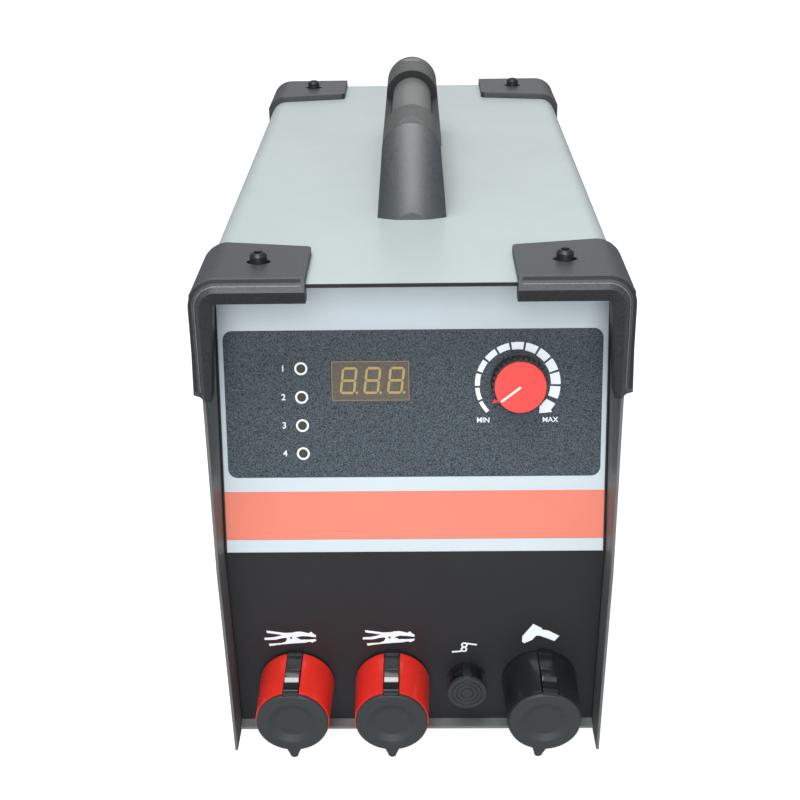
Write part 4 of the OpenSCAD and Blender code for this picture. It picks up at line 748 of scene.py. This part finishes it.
def line_path(guard, side, inset):
    """Points of a line on a guard's lip, seen from the front: along the top, round the corner and down."""
    low, high = (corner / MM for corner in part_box(guard))
    inner, outside = sorted((abs(low.x), abs(high.x)))
    start, end = inner + LINE_ENDS[0], low.z + LINE_ENDS[1]
    edge, top, r = outside - inset, high.z - inset, GUARD_R - inset
    centre = (edge - r, top - r)
    across = [(start + i * LINE_STEP, top) for i in range(int((centre[0] - start) / LINE_STEP))]
    down = [(edge, centre[1] - i * LINE_STEP) for i in range(1, int((centre[1] - end) / LINE_STEP))]
    points = across + arc(centre, r, 90, 0, CORNER_STEPS) + down
    return [Vector((side * x, low.y - LINE_STEP, z)) * MM for x, z in points]


def make_guard_line(guard, side, kind):
    """Strip along the lip of a front guard with the look of its kind: a painted highlight on the ridge line,
    painted shade along the edge.
    """
    inset, width, look = GUARD_LINES[kind]
    mesh = nodes[guard].data
    faces = [polygon.vertices for polygon in mesh.polygons]
    solid = BVHTree.FromPolygons([vertex.co for vertex in mesh.vertices], faces)
    path = line_path(guard, side, inset)
    bm = bmesh.new()
    rows = []
    for before, point, after in zip(path, path[1:], path[2:]):
        place, out, _, _ = solid.ray_cast(point, BACK)
        aside = out.cross(after - before).normalized() * width / 2 * MM
        sink = out * LINE_DEPTH * MM
        corners = (place - aside - sink, place + aside - sink, place + aside + sink, place - aside + sink)
        rows.append([bm.verts.new(corner) for corner in corners])
    close_rows(bm, rows)
    name = f"{guard}_{kind}"
    add_piece(name, as_mesh(bm, name), look, FIXED)


def close_rows(bm, rows):
    """Skins rows of vertices into one closed band."""
    for first, second in zip(rows, rows[1:]):
        for k in range(len(first)):
            after = (k + 1) % len(first)
            bm.faces.new((first[k], first[after], second[after], second[k]))
    bm.faces.new(rows[0][::-1])
    bm.faces.new(rows[-1])
    bmesh.ops.recalc_face_normals(bm, faces=bm.faces[:])


def make_rocker_marks():
    """White ring and stroke on the two faces of the mains switch."""
    mesh = nodes["switch_rocker"].data
    pivot = Vector(joints["switch_rock"]["pos_m"])
    faces = [face for face in mesh.polygons if face.normal.y > MARK_FACING]
    for name, side, outlines in (("mark_off", -1, ring((0, 0), *MARK_RING)),
                                 ("mark_on", 1, [bar(*MARK_STROKE, MARK_W)])):
        half = [face for face in faces if (face.center.z - pivot.z) * side > 0]
        area = sum(face.area for face in half)
        middle = sum((face.center * face.area for face in half), Vector()) / area
        out = sum((face.normal * face.area for face in half), Vector()).normalized()
        place = basis(middle, -RIGHT, out.cross(-RIGHT), out)
        print_piece(name, outlines, place, "print_white", "rocker")


def web_sink(reach, bend, fore, drop):
    """Fall of a web's top at a reach in front of the hinge, along a quarter of an ellipse."""
    share = max(reach + bend, 0) / (fore + bend)
    return drop * (1 - math.sqrt(max(1 - share * share, 0)))


def web_hump(reach, height, rear, crest, foot):
    """Rise of a web's top, which climbs gently to its crest and falls quickly in front of it."""
    share = min((reach - rear) / (crest - rear), (foot - reach) / (foot - crest))
    return height * max(share, 0)


def web_section(half, low, top):
    """Outline across a web: cut corners, and a flat top between two extra points."""
    one, two = half - BRIDGE_CUT, half - 2 * BRIDGE_CUT
    rise, sink = low + BRIDGE_CUT, top - BRIDGE_CUT
    return [(-one, low), (one, low), (half, rise), (half, sink), (one, top), (two, top), (-two, top),
            (-one, top), (-half, sink), (-half, rise)]


def web_reaches(back, bend, fore):
    """Places along a web, even behind its bend and closer together towards its front end."""
    even = [-back + (back - bend) * i / HUMP_STEPS for i in range(HUMP_STEPS)]
    turns = [math.pi / 2 * i / BRIDGE_STEPS for i in range(BRIDGE_STEPS + 1)]
    return even + [-bend + (fore + bend) * math.sin(turn) for turn in turns]


def make_bridge(body, strap, width, lift, back, bend, fore, drop, hump=NO_HUMP):
    """Soft rubber web that joins a strap's end to its cap across the hinge."""
    joint = next(joint for joint in frame["joints"] if joint["child"] == body)
    hinge = Vector(joint["pos_m"])
    across = Vector(joint["axis"])
    rise = FRONT.cross(across).normalized()
    if rise.z < 0:
        rise = -rise
    bm = bmesh.new()
    rows = []
    for reach in web_reaches(back, bend, fore):
        low = lift - web_sink(reach, bend, fore, drop) - BRIDGE_T
        top = low + BRIDGE_T + web_hump(reach, *hump)
        places = [hinge + (FRONT * reach + rise * height + across * aside) * MM
                  for aside, height in web_section(width / 2, low, top)]
        rows.append([bm.verts.new(place) for place in places])
    close_rows(bm, rows)
    for face in bm.faces:
        face.smooth = True
    mesh = as_mesh(bm, strap + "_web")
    piece = add_piece(strap + "_web", mesh, "web_rubber", None)
    mesh.materials.append(materials["web_dull"])
    for polygon in mesh.polygons:
        polygon.material_index = int((polygon.center - hinge).dot(FRONT) > -WEB_DULL * MM)
    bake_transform(piece)


def make_floor():
    """Pale floor that keeps the object's shadow and looks white to the camera."""
    bpy.ops.mesh.primitive_plane_add(size=FLOOR_SIZE)
    floor = bpy.context.object
    floor.name = "floor"
    made = bpy.data.materials.new("floor")
    made.use_nodes = True
    tree = made.node_tree
    tree.nodes.clear()
    output = add_node(tree, "ShaderNodeOutputMaterial")
    diffuse = add_node(tree, "ShaderNodeBsdfDiffuse", Color=(FLOOR_SHARE,) * 3 + (1,))
    glow = add_node(tree, "ShaderNodeEmission", Color=WHITE)
    total = add_node(tree, "ShaderNodeAddShader")
    strength = add_node(tree, "ShaderNodeMath", {"operation": "MULTIPLY"})
    strength.inputs[1].default_value = FLOOR_GLOW
    tree.links.new(seen_directly(tree), strength.inputs[0])
    tree.links.new(strength.outputs["Value"], glow.inputs["Strength"])
    tree.links.new(diffuse.outputs["BSDF"], total.inputs[0])
    tree.links.new(glow.outputs["Emission"], total.inputs[1])
    tree.links.new(total.outputs["Shader"], output.inputs["Surface"])
    floor.data.materials.append(made)


def seen_directly(tree):
    """One for rays from the camera and zero for the rest."""
    return add_node(tree, "ShaderNodeLightPath").outputs["Is Camera Ray"]


def make_world():
    """Even white surroundings, paler to the camera than the light they give."""
    world = bpy.data.worlds.new("world")
    bpy.context.scene.world = world
    world.use_nodes = True
    tree = world.node_tree
    background = tree.nodes["Background"]
    fill(background, Color=WHITE)
    tree.links.new(span(tree, seen_directly(tree), 0, 1, AMBIENT, 1), background.inputs["Strength"])


def make_lamps():
    """Soft square lamps aimed at the machine."""
    for name, (place, size, power) in LAMPS.items():
        light = bpy.data.lights.new(name, "AREA")
        light.size = size
        light.energy = power
        lamp = bpy.data.objects.new(name, light)
        lamp.location = place
        lamp.rotation_euler = (LAMP_AIM - Vector(place)).to_track_quat("-Z", "Y").to_euler()
        bpy.context.scene.collection.objects.link(lamp)


def make_camera():
    """Camera at the photograph's place and angle."""
    pitch, yaw, roll = (math.radians(angle) for angle in (CAMERA_PITCH, CAMERA_YAW, CAMERA_ROLL))
    level = Vector((-math.sin(yaw), math.cos(yaw), 0))
    right = Vector((math.cos(yaw), math.sin(yaw), 0))
    forward = level * math.cos(pitch) - UP * math.sin(pitch)
    upward = level * math.sin(pitch) + UP * math.cos(pitch)
    image_right = right * math.cos(roll) + upward * math.sin(roll)
    image_up = upward * math.cos(roll) - right * math.sin(roll)
    camera = bpy.data.cameras.new("camera")
    camera.sensor_width = SENSOR_MM
    camera.lens = FOCAL_PX / IMAGE_PX * SENSOR_MM
    holder = bpy.data.objects.new("camera", camera)
    holder.matrix_world = basis(Vector(CAMERA_PLACE), image_right, image_up, -forward)
    bpy.context.scene.collection.objects.link(holder)
    bpy.context.scene.camera = holder


materials = {name: surface(name, **look) for name, look in LOOKS.items()}
dress_nodes()
make_dial()
make_lamp_prints()
make_display()
make_pictograms()
make_edge_shade()
for line_kind in GUARD_LINES:
    make_guard_line("guard_front_left", -1, line_kind)
    make_guard_line("guard_front_right", 1, line_kind)
make_rocker_marks()
for moving, (strap_node, web) in BRIDGES.items():
    make_bridge(moving, strap_node, **web)
make_floor()
make_world()
make_lamps()
make_camera()
bpy.context.scene.view_settings.view_transform = "Standard"
